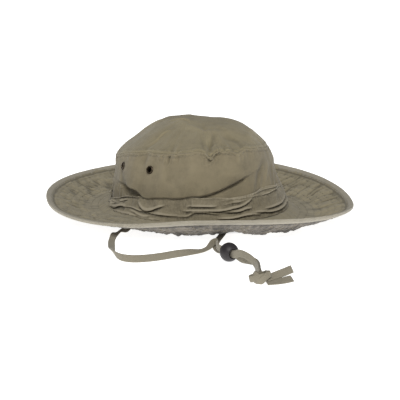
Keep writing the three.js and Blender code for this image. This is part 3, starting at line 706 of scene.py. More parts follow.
def wall_wrinkle(angle, height):
    """The wall's creases, broad waves and the puckers under its seam."""
    seam = seam_height(angle)
    free = ease(height, 16, 30)
    wrinkle = 1.1 * round_noise(angle, height, WALL_ROUND, 24, 26, 11)
    wrinkle += 0.4 * round_noise(angle, height, WALL_ROUND, 9, 13, 12)
    wrinkle += 0.12 * round_noise(angle, height, WALL_ROUND, 4, 5, 13)
    for above, below, rows in WALL_CREASES:
        wrinkle += round_line_field(angle, height, rows, above, below)
    under = seam - height
    gathers = round_noise(angle, height, WALL_ROUND, 3.6, 14, 14)
    gathers = gathers + 0.6 * round_noise(angle, height, WALL_ROUND, 7, 20, 15)
    at_pleats, at_side_knot = turn_between(angle, PLEATS_AT), turn_between(angle, SIDE_KNOT_AT)
    gathered = 0.6 + 2.2 * bell(at_pleats / 8) + 1.8 * bell(at_side_knot / 7)
    wrinkle += gathered * gathers * ease(under, 0.5, 2.5) * (1 - ease(under, 5, 11))
    even_pleats = 1.1 * bell(at_pleats / 6) * np.cos(np.radians(angle) * 171)
    wrinkle += even_pleats * ease(under, 3.5, 5) * (1 - ease(under, 7, 11))
    knot = bell(turn_between(angle, SEAM_KNOT_AT) / 5.5) * bell((under - 1.5) / 5.5)
    wrinkle += 3.6 * knot * round_noise(angle, height, WALL_ROUND, 2.6, 2.2, 17)
    wrinkle -= 0.45 * bell((under - 3.0) / 0.8)
    pinched = bell(turn_between(angle, BUNCH_AT) / 12) * bell((height - 22) / 10)
    pleats = 1.8 * pinched * round_noise(angle, height, WALL_ROUND, 3.2, 16, 18)
    return wrinkle * free * calm_near_eyelets(angle, height) + pleats


def wall_spot(angle, share):
    """A point of the crown wall from its foot, share 0, to the seam, share 1, and its painted tone from how
    much it stands out.
    """
    seam = seam_height(angle)
    height = mix(WALL_START, seam, share)
    fold = read_round(CROWN_ROWS, FOLD, angle)
    slump = read_round(CROWN_ROWS, BULGE, angle) / 5
    wrinkle = wall_wrinkle(angle, height)
    offset = wall_offset(angle, height) + wrinkle
    over = height - fold
    sharp = 0.22 + 0.78 * bell(turn_between(angle, SLUMP_AT) / 28)
    lip_wave = round_noise(angle, height, WALL_ROUND, 12, 60, 16)
    offset = offset - 1.5 * slump * sharp * bell((over + 3.2) / 2.2) - 1.3 * ease(height, seam - 1.6, seam)
    drop = slump * sharp * (2.6 + 0.9 * lip_wave) * bell((over - 1.2) / np.where(over > 1.2, 5.0, 2.0))
    x, y = oval_point(angle, offset)
    under = seam - height
    # Painted tone: wrinkles paler on ridges and darker in hollows, painted shade under the slumped lip and in
    # the seam's grooves, painted highlight on the seam's raised edge
    seam_tone = 0.7 * bell((under - 1.3) / 0.9) - 1.2 * bell((under - 3.4) / 0.6) - 1.2 * bell(under / 0.6)
    rise = wrinkle - 2.2 * slump * sharp * bell((over + 2.4) / 2.0) + seam_tone
    return x, y, height - drop, rise


def tip_spot(angle, out):
    """A point of the crown tip from its middle, out 0, to the seam, out 1."""
    seam = seam_height(angle)
    wall_top = wall_offset(angle, read_round(CROWN_ROWS, SEAM, angle))
    rim_x, rim_y = oval_point(angle, wall_top + wall_wrinkle(angle, seam - 1.8) * 0.6 - 0.4)
    x, y = rim_x * out, rim_y * out
    rim = seam + 0.9
    height = CROWN_APEX - (CROWN_APEX - rim) * out ** read_round(CROWN_ROWS, FULL, angle)
    inside = 1 - out**8
    for at, share, radius, drop in TIP_FOLDS:
        plan = np.array(oval_point(at, wall_offset(at, float(read_round(CROWN_ROWS, SEAM, at))))) * share
        height = height - drop * bell(np.hypot(x - plan[0], y - plan[1]) / radius) * inside
    crease = np.zeros(np.shape(height))
    for near, far, rows in TIP_CREASES:
        crease += line_field(x, y, smooth_line(rows, 4), near, far)
    crease += 0.9 * smooth_noise(x / 26, y / 26, 0.3, 21) + 0.3 * smooth_noise(x / 10, y / 10, 0.7, 22)
    crease *= (1 - 0.7 * out**10) * ease(out, 0.0, 0.25)
    to_rim = (1 - out) * np.hypot(rim_x, rim_y)
    gathers = round_noise(angle, to_rim, TIP_ROUND, 4.2, 12, 23)
    crease += 0.55 * gathers * ease(to_rim, 0.6, 2.4) * (1 - ease(to_rim, 5, 12))
    near_knot = bell(turn_between(angle, SEAM_KNOT_AT) / 6)
    near_knot = near_knot + 0.7 * bell(turn_between(angle, SIDE_KNOT_AT) / 7)
    crease += 2.0 * near_knot * bell(to_rim / 9) * smooth_noise(x / 3.4, y / 3.4, 0.1, 24)
    crease -= 0.35 * bell((to_rim - 2.6) / 0.8)
    height = height + crease - 1.7 * (1 - ease(to_rim, -0.2, 1.9))
    # Painted tone: creases paler on their ridges as painted highlight and darker in their hollows as painted
    # shade, painted shade in the seam's grooves and painted highlight beside them
    seam_tone = 0.7 * bell((to_rim - 1.4) / 0.8) - 0.8 * bell((to_rim - 3.2) / 0.6) - 1.2 * bell(to_rim / 0.6)
    return x, y, height, 1.3 * crease + seam_tone


def between_tacks(angle):
    """0 at a tack of the band and 1 midway to the next."""
    return np.abs(np.sin(np.radians((angle - TACK_TURN) * TACK_COUNT / 2)))


def band_spot(angle, share):
    """A point of the loop band from its lower edge, share 0, to its upper edge, share 1."""
    fold = read_round(CROWN_ROWS, FOLD, angle)
    top = read_round(BAND_TOP_ROWS, 1, angle) + 0.4 * round_noise(angle, 0, WALL_ROUND, 14, 1, 31)
    flare = read_round(BAND_FLARE_ROWS, 1, angle)
    height = mix(BAND_BOTTOM, top, share)
    loose = between_tacks(angle) ** 0.5
    lips = np.zeros(np.shape(angle))
    crests = np.zeros(np.shape(angle))
    tucks = np.zeros(np.shape(angle))
    sized_folds = [(rows, 1) for rows in BAND_FOLDS] + [(rows, 0.45) for rows in BAND_FINE_FOLDS]
    for rows, size in sized_folds:
        lips = np.maximum(lips, round_line_field(angle, height, rows, 2.2 * size, 0.7 * size) * size)
        raised = [(at, level + 0.8 * size, out) for at, level, out in rows]
        crests = np.maximum(crests, round_line_field(angle, height, raised, 0.65 * size, 0.65 * size))
        lowered = [(at, level - 1.7 * size, out) for at, level, out in rows]
        tucks = np.maximum(tucks, round_line_field(angle, height, lowered, 0.7 * size, 1.3 * size))
    held = 0.45 + 0.55 * loose
    small = 0.3 * round_noise(angle, height, WALL_ROUND, 7, 4, 32)
    small += 0.3 * round_noise(angle, height, WALL_ROUND, 2.6, 6, 33)
    small += 0.7 * (1 - loose) * round_noise(angle, height, WALL_ROUND, 1.8, 12, 34)
    bunched = bell(turn_between(angle, BUNCH_AT) / 7)
    small += 1.5 * bunched * round_noise(angle, height, WALL_ROUND, 5, 2.6, 35)
    stand = 1.5 + 0.9 * loose * np.sin(np.pi * np.clip(share, 0, 1)) + 0.5 * (1 - share)
    offset = wall_offset(angle, np.minimum(height, fold - 2)) + stand
    offset = offset + held * (1.3 * lips - 0.55 * np.minimum(tucks, 1.6)) + small
    offset = offset + flare * (1 - share) ** 2.2
    cloth_height, _ = brim_height(angle, offset)
    drop = 0.85 * lips * held + 0.55 * flare * (1 - share) ** 2.2
    height = np.maximum(height - drop, cloth_height + BRIM_THICKNESS / 2 + 0.35)
    x, y = oval_point(angle, offset)
    # Painted tone: each lip's crest paler as wear and painted highlight, the tuck under it darker as painted
    # shade, and the band's two edges paler
    edges = 1.2 * bell(share / 0.03) + 1.3 * bell((1 - share) / 0.03)
    return x, y, height, 2.0 * crests - 1.5 * tucks + 1.4 * small + edges


def binding_spot(angle, share):
    """A point round the section of the folded tape on the brim's edge."""
    around = 2 * np.pi * share
    wide, high = np.cos(around), np.sin(around)
    ripple = 0.16 * round_noise(angle, 0, BINDING_ROUND, 3.2, 1, 41)
    ripple = ripple + 0.25 * round_noise(angle, 0, BINDING_ROUND, 14, 1, 42)
    offset = BINDING_MIDDLE + 3.35 * swelled(wide, 0.55)
    inner = ease(BINDING_MIDDLE - offset, 0.2, 3.2)
    thick = mix(1.72, 1.35, inner) * swelled(high, 0.6)
    groove = 0.25 * bell((offset - BINDING_MIDDLE + 2.0) / 0.5) * np.sign(high)
    flat_offset = np.minimum(offset, BINDING_OUTER)
    x, y = oval_point(angle, offset + ripple * 0.5 * (1 - inner))
    height = brim_middle(angle, flat_offset) + thick - groove + ripple * (0.35 + 0.65 * inner)
    # Painted tone: painted shade in the groove and at the inner lip, lighter and darker with the ripple
    rise = ripple * 2 - np.abs(groove) * 5 - 1.5 * bell((BINDING_MIDDLE - offset - 3.3) / 0.5)
    return x, y, height, rise


def brim_spot(angle, across):
    """A point of the brim's middle from its inner edge, across 0, to under the binding, across 1."""
    offset = mix(-WALL_THICKNESS, BRIM_LAST, across)
    height, pucker = brim_height(angle, offset)
    x, y = oval_point(angle, offset)
    # Painted tone: puckers darker in their hollows as painted shade and paler on their ridges as painted
    # highlight, painted shade along the binding's inner edge
    return x, y, height, pucker * 1.9 - 3.2 * bell((offset - 61.2) / 1.0)


# ---------------------------------------------------------------- meshes


def finish_mesh(bm, name):
    """Makes a smooth-shaded piece of the bmesh and frees it."""
    mesh = bpy.data.meshes.new(name)
    bm.to_mesh(mesh)
    bm.free()
    for face in mesh.polygons:
        face.use_smooth = True
    piece = bpy.data.objects.new(name, mesh)
    bpy.context.scene.collection.objects.link(piece)
    return piece


def cloth_grid(round_steps, across_steps, spot, facing, weave):
    """A grid of cloth closed round the hat. `spot(turn, across)` places it, in millimetres.

    `facing` is "up" or "out", and `weave` the size of the cloth in metres that its UV map spans,
    or None where the weave lies in plan.
    """
    bm = bmesh.new()
    uv = bm.loops.layers.uv.new("weave")
    bmesh.ops.create_grid(bm, x_segments=round_steps, y_segments=across_steps, size=0.5, calc_uvs=True)
    shares = np.array([vert.co for vert in bm.verts]) + 0.5
    # The fourth value of a spot is the cloth's tone, kept as "rise", which the material paints as wear,
    # painted highlight and painted shade
    x, y, z, rise = spot(shares[:, 0] * 360, shares[:, 1])
    layer = bm.verts.layers.float.new("rise")
    for vert, *place, lift in zip(bm.verts, x, y, z, rise):
        vert.co = Vector(place) * MM
        vert[layer] = lift
    for face in bm.faces:
        for loop in face.loops:
            if weave:
                loop[uv].uv = (loop[uv].uv[0] * weave[0], loop[uv].uv[1] * weave[1])
            else:
                loop[uv].uv = loop.vert.co.xy
    bmesh.ops.remove_doubles(bm, verts=bm.verts, dist=0.02 * MM)
    bm.normal_update()
    outward = sum(
        face.normal.z if facing == "up" else face.normal.xy.dot(face.calc_center_median().xy.normalized())
        for face in bm.faces
    )
    if outward < 0:
        bmesh.ops.reverse_faces(bm, faces=bm.faces)
    return bm


def add_thickness(piece, thickness, offset):
    """Gives a sheet its thickness in metres: offset -1 puts it inside, and 0 to either side."""
    solid = piece.modifiers.new("thickness", "SOLIDIFY")
    solid.thickness = thickness
    solid.offset = offset
    solid.use_even_offset = False
    solid.use_quality_normals = True
    return solid


def open_eyelet_holes(bm):
    """Takes out the cloth inside each eyelet's barrel."""
    for row in EYELET_ROWS:
        centre, outward = eyelet_frame(row)
        inside = []
        for face in bm.faces:
            away = face.calc_center_median() / MM - centre
            along = away.dot(outward)
            if abs(along) < EYELET_HOLE_DEPTH and (away - outward * along).length < EYELET_HOLE:
                inside.append(face)
        bmesh.ops.delete(bm, geom=inside, context="FACES")


def eyelet_frame(row):
    """The middle of an eyelet on the wall, and the way out of the wall there."""
    _, at, level = row

    def spot(angle, height):
        x, y = oval_point(angle, wall_offset(angle, height) - 0.6)
        return Vector((float(x), float(y), height))

    centre = spot(at, level)
    along = spot(at + 3, level) - spot(at - 3, level)
    up = spot(at, level + 4) - spot(at, level - 4)
    return centre, along.cross(up).normalized()


def spun_ring(section, axis, centre, steps):
    """A closed section of (radius, height) spun round an axis through `centre`, in millimetres."""
    bm = bmesh.new()
    verts = [bm.verts.new(Vector((radius, 0, height)) * MM) for radius, height in section]
    edges = [bm.edges.new((verts[index - 1], verts[index])) for index in range(len(verts))]
    bmesh.ops.spin(
        bm, geom=verts + edges, cent=(0, 0, 0), axis=(0, 0, 1), angle=math.tau, steps=steps, use_merge=True
    )
    turn = Vector((0, 0, 1)).rotation_difference(axis).to_matrix().to_4x4()
    bmesh.ops.transform(bm, matrix=Matrix.Translation(centre * MM) @ turn, verts=bm.verts)
    bmesh.ops.recalc_face_normals(bm, faces=bm.faces)
    return bm


def stitch_row(surface, lift, pitch=3.3, length=2.3, width=0.55):
    """Places for the stitches of one closed row.

    `surface(angle)` gives the row's line and `lift(spots)` the way off the cloth. Each place is a
    centre and the three half axes of its stitch, in millimetres.
    """
    fine = np.linspace(0, 360, 2401)
    line = np.stack(surface(fine), axis=1)
    along = np.concatenate([[0], np.cumsum(np.linalg.norm(np.diff(line, axis=0), axis=1))])
    starts = np.arange(int(along[-1] / pitch)) * along[-1] / int(along[-1] / pitch)
    middle = np.interp(starts + pitch / 2, along, fine)
    before = np.stack(surface(middle - 0.25), axis=1)
    after = np.stack(surface(middle + 0.25), axis=1)
    centre = (before + after) / 2
    forward = unit(after - before)
    side = unit(np.cross(lift(centre), forward))
    up = np.cross(forward, side)
    axes = (forward * length / 2, side * width / 2, up * width / 2.4)
    return np.stack([centre + up * width * 0.18, *axes], axis=1)


def unit(vectors):
    """The vectors at length 1."""
    return vectors / np.linalg.norm(vectors, axis=-1, keepdims=True)


def sew(name, rows):
    """One small bead copied by doubling, then laid along the rows of stitches."""
    places = np.concatenate(rows)
    bm = bmesh.new()
    bmesh.ops.create_uvsphere(bm, u_segments=5, v_segments=3, radius=1)
    size = len(bm.verts)
    while len(bm.verts) < size * len(places):
        bmesh.ops.duplicate(bm, geom=bm.verts[:] + bm.edges[:] + bm.faces[:])
    bmesh.ops.delete(bm, geom=bm.verts[size * len(places) :], context="VERTS")
    beads = np.array([vert.co for vert in bm.verts]).reshape(len(places), size, 3)
    spots = places[:, None, 0] + np.einsum("bva,bac->bvc", beads, places[:, 1:])
    for vert, spot in zip(bm.verts, spots.reshape(-1, 3)):
        vert.co = Vector(spot) * MM
    bmesh.ops.recalc_face_normals(bm, faces=bm.faces)
    return finish_mesh(bm, name)


def tape_frames(rows, steps):
    """Centres, width directions and thickness directions along a smoothed route."""
    guide = []
    for row in rows:
        turn, lift = math.radians(row[3]), math.radians(row[4])
        flat = math.cos(lift)
        guide.append((row[0], row[1], row[2], math.cos(turn) * flat, math.sin(turn) * flat, math.sin(lift)))
    line = smooth_line(guide, steps)
    centres = line[:, :3]
    forward = np.gradient(centres, axis=0)
    forward /= np.linalg.norm(forward, axis=1)[:, None]
    wide = line[:, 3:]
    wide = wide - (wide * forward).sum(axis=1)[:, None] * forward
    wide /= np.linalg.norm(wide, axis=1)[:, None]
    return centres, wide, np.cross(forward, wide)


def tape_section(turn, width, thickness):
    """How far across and how far off the middle a turn round a flat tape's section is, in millimetres."""
    return swelled(math.cos(turn), 0.5) * width / 2, swelled(math.sin(turn), 0.7) * thickness / 2


def tape_mesh(name, rows):
    """A flat woven tape along a route, closed at both ends, and its centreline in metres."""
    centres, wide, thick = tape_frames(rows, TAPE_STEPS)
    bm = bmesh.new()
    uv = bm.loops.layers.uv.new("weave")
    count = len(centres) - 1
    bmesh.ops.create_grid(bm, x_segments=count, y_segments=20, size=0.5, calc_uvs=True)
    length = float(np.linalg.norm(np.diff(centres, axis=0), axis=1).sum())
    layer = bm.verts.layers.float.new("rise")
    for vert in bm.verts:
        index = min(count, round((vert.co.x + 0.5) * count))
        across, lift = tape_section(math.tau * (vert.co.y + 0.5), TAPE_WIDTH, TAPE_THICKNESS)
        place = centres[index] + wide[index] * across + thick[index] * lift
        vert.co = Vector(place) * MM
        vert[layer] = -0.4 * (1 - abs(across) / (TAPE_WIDTH / 2)) + 0.3
    for face in bm.faces:
        for loop in face.loops:
            loop[uv].uv = (loop[uv].uv[0] * length * MM, loop[uv].uv[1] * 2 * TAPE_WIDTH * MM)
    bmesh.ops.remove_doubles(bm, verts=bm.verts, dist=0.01 * MM)
    bmesh.ops.holes_fill(bm, edges=[edge for edge in bm.edges if edge.is_boundary], sides=0)
    bmesh.ops.recalc_face_normals(bm, faces=bm.faces)
    return finish_mesh(bm, name), [tuple(point * MM) for point in centres]


def pair_rows(side):
    """The route of one tape of the pair, moved off the shared centreline through its thickness."""
    centres, wide, thick = tape_frames([row[:5] for row in PAIR_ROUTE], 1)
    found = []
    for row, centre, across, out in zip(PAIR_ROUTE, centres, wide, thick):
        place = centre + out * side * (PAIR_SPACING + row[5]) + across * side * row[6]
        found.append((*place, row[3], row[4]))
    return found


# ---------------------------------------------------------------- materials


def node(tree, kind, **values):
    """A new node with its settings."""
    made = tree.nodes.new(kind)
    for key, value in values.items():
        setattr(made, key, value)
    return made


def math_node(tree, operation, a, b):
    """A sum or product of two sockets or numbers."""
    made = node(tree, "ShaderNodeMath", operation=operation)
    for socket, value in zip(made.inputs, (a, b)):
        if isinstance(value, (int, float)):
            socket.default_value = value
        else:
            tree.links.new(value, socket)
    return made.outputs[0]


def noise_node(tree, vector, scale, detail):
    """Noise at the vector, with `scale` patches a metre."""
    made = node(tree, "ShaderNodeTexNoise")
    made.inputs["Scale"].default_value = scale
    made.inputs["Detail"].default_value = detail
    made.inputs["Roughness"].default_value = 0.55
    tree.links.new(vector, made.inputs["Vector"])
    return made.outputs["Fac"]


def mix_colour(tree, share, a, b):
    """Colour or socket `a` where the share is 0, and `b` where it is 1."""
    made = node(tree, "ShaderNodeMix", data_type="RGBA")
    tree.links.new(share, made.inputs[0])
    for socket, value in ((made.inputs[6], a), (made.inputs[7], b)):
        if isinstance(value, bpy.types.NodeSocket):
            tree.links.new(value, socket)
        else:
            socket.default_value = (*value, 1)
    return made.outputs[2]


def spread_value(tree, value, low, high):
    """Maps low..high to 0..1."""
    made = node(tree, "ShaderNodeMapRange")
    made.inputs["From Min"].default_value = low
    made.inputs["From Max"].default_value = high
    tree.links.new(value, made.inputs["Value"])
    return made.outputs["Result"]


def tint(tree, base, over, value, low, high, amount):
    """Lays the colour `over` on `base`: none where the value is `low`, and `amount` of it at `high`."""
    share = math_node(tree, "MULTIPLY", spread_value(tree, value, low, high), amount)
    return mix_colour(tree, share, base, over)


def thread_waves(tree, place, thread):
    """The weave's height: waves along both ways of the UV map, `thread` metres apart."""
    threads = []
    for direction in ("X", "Y"):
        wave = node(tree, "ShaderNodeTexWave", wave_type="BANDS", bands_direction=direction)
        wave.inputs["Scale"].default_value = WAVE_AT_SCALE_1 / thread
        wave.inputs["Distortion"].default_value = 0.6
        wave.inputs["Detail"].default_value = 1.0
        tree.links.new(place.outputs["UV"], wave.inputs["Vector"])
        threads.append(wave.outputs["Fac"])
    return math_node(tree, "MULTIPLY", *threads)


def cloth_material(
    name, colour, pale, dark, thread, weave_depth=0.5, mottle=0.5, crumple=0.4, wear_light_and_shade=0.5, fade=0.4
):
    """Washed plain-weave cotton: thread weave, faded patches, ridges painted paler and creases painted
    darker.

    `pale` is the share of the colour of faded places and of ridges, worn and with painted highlight; `dark`
    is that of mottled spots and of the creases' painted shade.
    """
    pale, dark = shaded(colour, pale), shaded(colour, dark)
    material = bpy.data.materials.new(name)
    material.use_nodes = True
    tree = material.node_tree
    tree.nodes.clear()
    shader = node(tree, "ShaderNodeBsdfPrincipled")
    output = node(tree, "ShaderNodeOutputMaterial")
    tree.links.new(shader.outputs[0], output.inputs[0])
    place = node(tree, "ShaderNodeTexCoord")
    body = place.outputs["Object"]
    patches = noise_node(tree, body, 22, 4)
    spots = noise_node(tree, body, 120, 3)
    slubs = noise_node(tree, body, 700, 2)
    rise = node(tree, "ShaderNodeAttribute", attribute_name="rise").outputs["Fac"]
    faded = tint(tree, colour, pale, patches, 0.35, 0.68, fade)
    toned = tint(tree, faded, dark, spots, 0.45, 0.75, mottle)
    # Tone from the rise attribute: ridges paler as wear and painted highlight, creases darker as painted
    # shade
    ridges_worn_and_painted_lit = tint(tree, toned, pale, rise, 0.25, 1.7, wear_light_and_shade)
    creases_painted_shade = tint(tree, ridges_worn_and_painted_lit, dark, rise, -0.25, -1.6, wear_light_and_shade + 0.1)
    grained = tint(tree, creases_painted_shade, pale, slubs, 0.35, 0.7, 0.25)
    tree.links.new(grained, shader.inputs["Base Color"])
    weave = math_node(tree, "MULTIPLY", thread_waves(tree, place, thread), weave_depth * 0.25)
    crumpled = math_node(tree, "MULTIPLY", noise_node(tree, body, 330, 4), crumple)
    height = math_node(tree, "ADD", weave, crumpled)
    bump = node(tree, "ShaderNodeBump")
    bump.inputs["Strength"].default_value = 0.55
    bump.inputs["Distance"].default_value = 0.6 * MM
    tree.links.new(height, bump.inputs["Height"])
    tree.links.new(bump.outputs["Normal"], shader.inputs["Normal"])
    shader.inputs["Roughness"].default_value = 0.92
    shader.inputs["Specular IOR Level"].default_value = 0.25
    shader.inputs["Sheen Weight"].default_value = 0.18
    shader.inputs["Sheen Roughness"].default_value = 0.6
    return material


def hard_material(name, colour, worn, roughness, metallic, scale, coat=0.0):
    """Metal or turned wood: a dark finish with rubbed, paler patches."""
    material = bpy.data.materials.new(name)
    material.use_nodes = True
    tree = material.node_tree
    shader = tree.nodes["Principled BSDF"]
    place = node(tree, "ShaderNodeTexCoord").outputs["Object"]
    patches = noise_node(tree, place, scale, 4)
    grain = noise_node(tree, place, scale * 6, 3)
    rubbed = spread_value(tree, patches, 0.5, 0.75)
    tree.links.new(mix_colour(tree, rubbed, colour, worn), shader.inputs["Base Color"])
    rough = math_node(tree, "ADD", math_node(tree, "MULTIPLY", grain, 0.25), roughness - 0.12)
    tree.links.new(rough, shader.inputs["Roughness"])
    bump = node(tree, "ShaderNodeBump")
    bump.inputs["Strength"].default_value = 0.2
    bump.inputs["Distance"].default_value = 0.15 * MM
    tree.links.new(grain, bump.inputs["Height"])
    tree.links.new(bump.outputs["Normal"], shader.inputs["Normal"])
    shader.inputs["Metallic"].default_value = metallic
    shader.inputs["Coat Weight"].default_value = coat
    shader.inputs["Coat Roughness"].default_value = 0.3
    return material


def shaded(colour, share):
    """The colour with all its channels, or each of them, brought to a share."""
    return tuple((np.array(colour[:3]) * share).tolist())


def settle(piece, material, slot, *nodes):
    """Gives the piece its finish, rides it on the hat and hides the CAD nodes it stands for."""
    piece.data.materials.append(material)
    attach(piece, BODY)
    if nodes:
        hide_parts(*nodes)


# ---------------------------------------------------------------- settings a user may change


def colour_prop(name, description, default):
    """A colour in linear red, green and blue."""
    return FloatVectorProperty(
        name=name, description=description, subtype="COLOR", size=3, min=0, max=1, default=default
    )


def length_prop(name, description, default, low, high):
    """A length whose default and limits are given in millimetres."""
    return FloatProperty(
        name=name, description=description, subtype="DISTANCE", unit="LENGTH",
        default=default * MM, min=low * MM, max=high * MM,
    )


class HatColours(bpy.types.PropertyGroup):
    crown: colour_prop("Crown", "Cloth of the crown's wall", (0.203, 0.172, 0.110))
    tip: colour_prop("Tip", "Cloth of the crown's top", (0.208, 0.178, 0.110))
    brim: colour_prop("Brim", "Cloth of the brim", (0.222, 0.194, 0.131))
    binding: colour_prop("Binding", "Tape on the brim's edge", (0.312, 0.285, 0.226))
    band: colour_prop("Band", "Cloth of the loop band", (0.196, 0.168, 0.110))
    tape: colour_prop("Tape", "Woven tape of the chin strap", (0.224, 0.201, 0.151))
    thread: colour_prop("Thread", "Sewing thread", (0.250, 0.222, 0.152))
    metal: colour_prop("Eyelets", "Blackened brass of the eyelets", (0.062, 0.046, 0.029))
    ball: colour_prop("Ball", "Stained wood of the slider ball", (0.013, 0.0098, 0.0122))


class HatSizes(bpy.types.PropertyGroup):
    cloth: length_prop("Crown cloth", "Thickness of the crown's cloth", WALL_THICKNESS, 0.5, 4)
    brim_cloth: length_prop("Brim cloth", "Thickness of the stitched brim", BRIM_THICKNESS, 1, 4)
    thread_pitch: length_prop("Weave", "Distance between the threads of the cloth", 0.55, 0.3, 3)
    ball_radius: length_prop("Ball radius", "Radius of the slider ball", BALL_RADIUS, 5, 12)
    stations: IntProperty(
        name="Stations", description="Facets of the cloth round the hat", default=560, min=80, max=900,
    )


# ---------------------------------------------------------------- operators


class HAT_OT_crown_side(bpy.types.Operator):
    """Makes the crown's wall, slumped over the band, with its creases and eyelet holes"""

    bl_idname = "hat.make_crown_side"
    bl_label = "Crown Side"

    def execute(self, context):
        colours, sizes = context.scene.hat_colours, context.scene.hat_sizes
        bm = cloth_grid(sizes.stations, CROWN_LEVELS, wall_spot, "out", WALL_CLOTH)
        open_eyelet_holes(bm)
        piece = finish_mesh(bm, "crown_side_cloth")
        add_thickness(piece, sizes.cloth, -1)
        cotton = cloth_material("crown_cotton", colours.crown, 1.28, 0.62, sizes.thread_pitch, wear_light_and_shade=0.6)
        settle(piece, cotton, "crown_cloth", "crown_side")
        return {"FINISHED"}


class HAT_OT_crown_tip(bpy.types.Operator):
    """Makes the crown's soft top with its dents and faded creases"""

    bl_idname = "hat.make_crown_tip"
    bl_label = "Crown Tip"

    def execute(self, context):
        colours, sizes = context.scene.hat_colours, context.scene.hat_sizes
        bm = cloth_grid(sizes.stations, CROWN_LEVELS, tip_spot, "up", None)
        piece = finish_mesh(bm, "crown_tip_cloth")
        add_thickness(piece, sizes.cloth, -1)
        cotton = cloth_material("tip_cotton", colours.tip, 1.32, 0.66, sizes.thread_pitch, wear_light_and_shade=0.6)
        settle(piece, cotton, "tip_cloth", "crown_tip")
        return {"FINISHED"}


class HAT_OT_loop_band(bpy.types.Operator):
    """Makes the crumpled loop band round the foot of the crown"""

    bl_idname = "hat.make_loop_band"
    bl_label = "Loop Band"

    def execute(self, context):
        colours, sizes = context.scene.hat_colours, context.scene.hat_sizes
        piece = finish_mesh(cloth_grid(*BAND_GRID, band_spot, "out", BAND_CLOTH), "loop_band_cloth")
        add_thickness(piece, BAND_THICKNESS * MM, -1)
        cotton = cloth_material(
            "band_cotton", colours.band, (1.9, 1.95, 2.2), 0.34, sizes.thread_pitch, wear_light_and_shade=0.8, fade=0.22
        )
        settle(piece, cotton, "band_cloth", "loop_band")
        return {"FINISHED"}


class HAT_OT_brim(bpy.types.Operator):
    """Makes the puckered, row-stitched brim"""

    bl_idname = "hat.make_brim"
    bl_label = "Brim"

    def execute(self, context):
        colours, sizes = context.scene.hat_colours, context.scene.hat_sizes
        piece = finish_mesh(cloth_grid(*BRIM_GRID, brim_spot, "up", BRIM_CLOTH), "brim_cloth")
        solid = add_thickness(piece, sizes.brim_cloth, 0)
        upper = cloth_material("brim_cotton", colours.brim, 1.35, 0.5, sizes.thread_pitch, wear_light_and_shade=0.75)
        settle(piece, upper, "brim_cloth", "brim_inner", "brim_outer")
        # The underside is the brim's colour darkened and blued as painted shade, with its wrinkles painted as
        # strong highlight and shade
        underside_painted_shade = shaded(colours.brim, (0.47, 0.47, 0.57))
        under = cloth_material("brim_underside_painted_shade", underside_painted_shade, 2.3, 0.32, sizes.thread_pitch, wear_light_and_shade=0.9)
        piece.data.materials.append(under)
        solid.material_offset = 1
        return {"FINISHED"}


class HAT_OT_binding(bpy.types.Operator):
    """Makes the folded tape on the brim's edge"""

    bl_idname = "hat.make_binding"
    bl_label = "Brim Binding"

    def execute(self, context):
        bm = cloth_grid(*BINDING_GRID, binding_spot, "up", BINDING_CLOTH)
        bmesh.ops.recalc_face_normals(bm, faces=bm.faces)
        piece = finish_mesh(bm, "brim_binding_tape")
        colour = context.scene.hat_colours.binding
        cotton = cloth_material("binding_cotton", colour, 1.15, 0.6, 0.7 * MM, mottle=0.35)
        settle(piece, cotton, "binding_cloth", "brim_binding")
        return {"FINISHED"}


class HAT_OT_stitching(bpy.types.Operator):
    """Sews the rows of the brim, the binding, the seam and the band"""

    bl_idname = "hat.make_stitching"
    bl_label = "Stitching"

    def execute(self, context):
        colour = context.scene.hat_colours.thread
        thread = cloth_material("sewing_thread", colour, 1.2, 0.7, 0.3 * MM, mottle=0.3)
        self.brim_rows(thread)
        self.crown_rows(thread)
        return {"FINISHED"}

    def brim_rows(self, thread):
        """The concentric rows and the binding's row, on the upper side and on the lower."""
        rows = []
        for side in (1, -1):

            def lift(spots, side=side):
                return spots * 0 + (0, 0, side)

            for row in range(ROW_COUNT):

                def surface(angle, offset=ROW_FIRST + ROW_SPACING * row, side=side):
                    height, _ = brim_height(angle, offset)
                    return *oval_point(angle, offset), np.maximum(height + side * BRIM_THICKNESS / 2, 0.4)

                rows.append(stitch_row(surface, lift))

            def edge(angle, side=side):
                return binding_spot(angle, np.full(np.shape(angle), 0.5 - 0.16 * side))[:3]

            rows.append(stitch_row(edge, lift, 3.0, 2.1, 0.6))
        settle(sew("brim_stitches", rows), thread, "brim_cloth")

    def crown_rows(self, thread):
        """The rows under and over the crown's seam, and the one along the band's upper edge."""

        def under_seam(angle):
            seam = seam_height(angle)
            return wall_spot(angle, (seam - 3.0 - WALL_START) / (seam - WALL_START))[:3]

        def over_seam(angle):
            return tip_spot(angle, np.full(np.shape(angle), 0.968))[:3]

        def band_head(angle):
            return band_spot(angle, np.full(np.shape(angle), 0.93))[:3]

        def outward(spots):
            return unit(spots / (HEAD_HALF_WIDTH, HEAD_HALF_LENGTH, 1e4) + (0, 0, 0.1))

        rows = [
            stitch_row(under_seam, outward),
            stitch_row(over_seam, lambda spots: spots * (1, 1, 0) + (0, 0, 120)),
            stitch_row(band_head, outward, 3.1, 2.1, 0.5),
        ]
        settle(sew("crown_stitches", rows), thread, "crown_cloth")


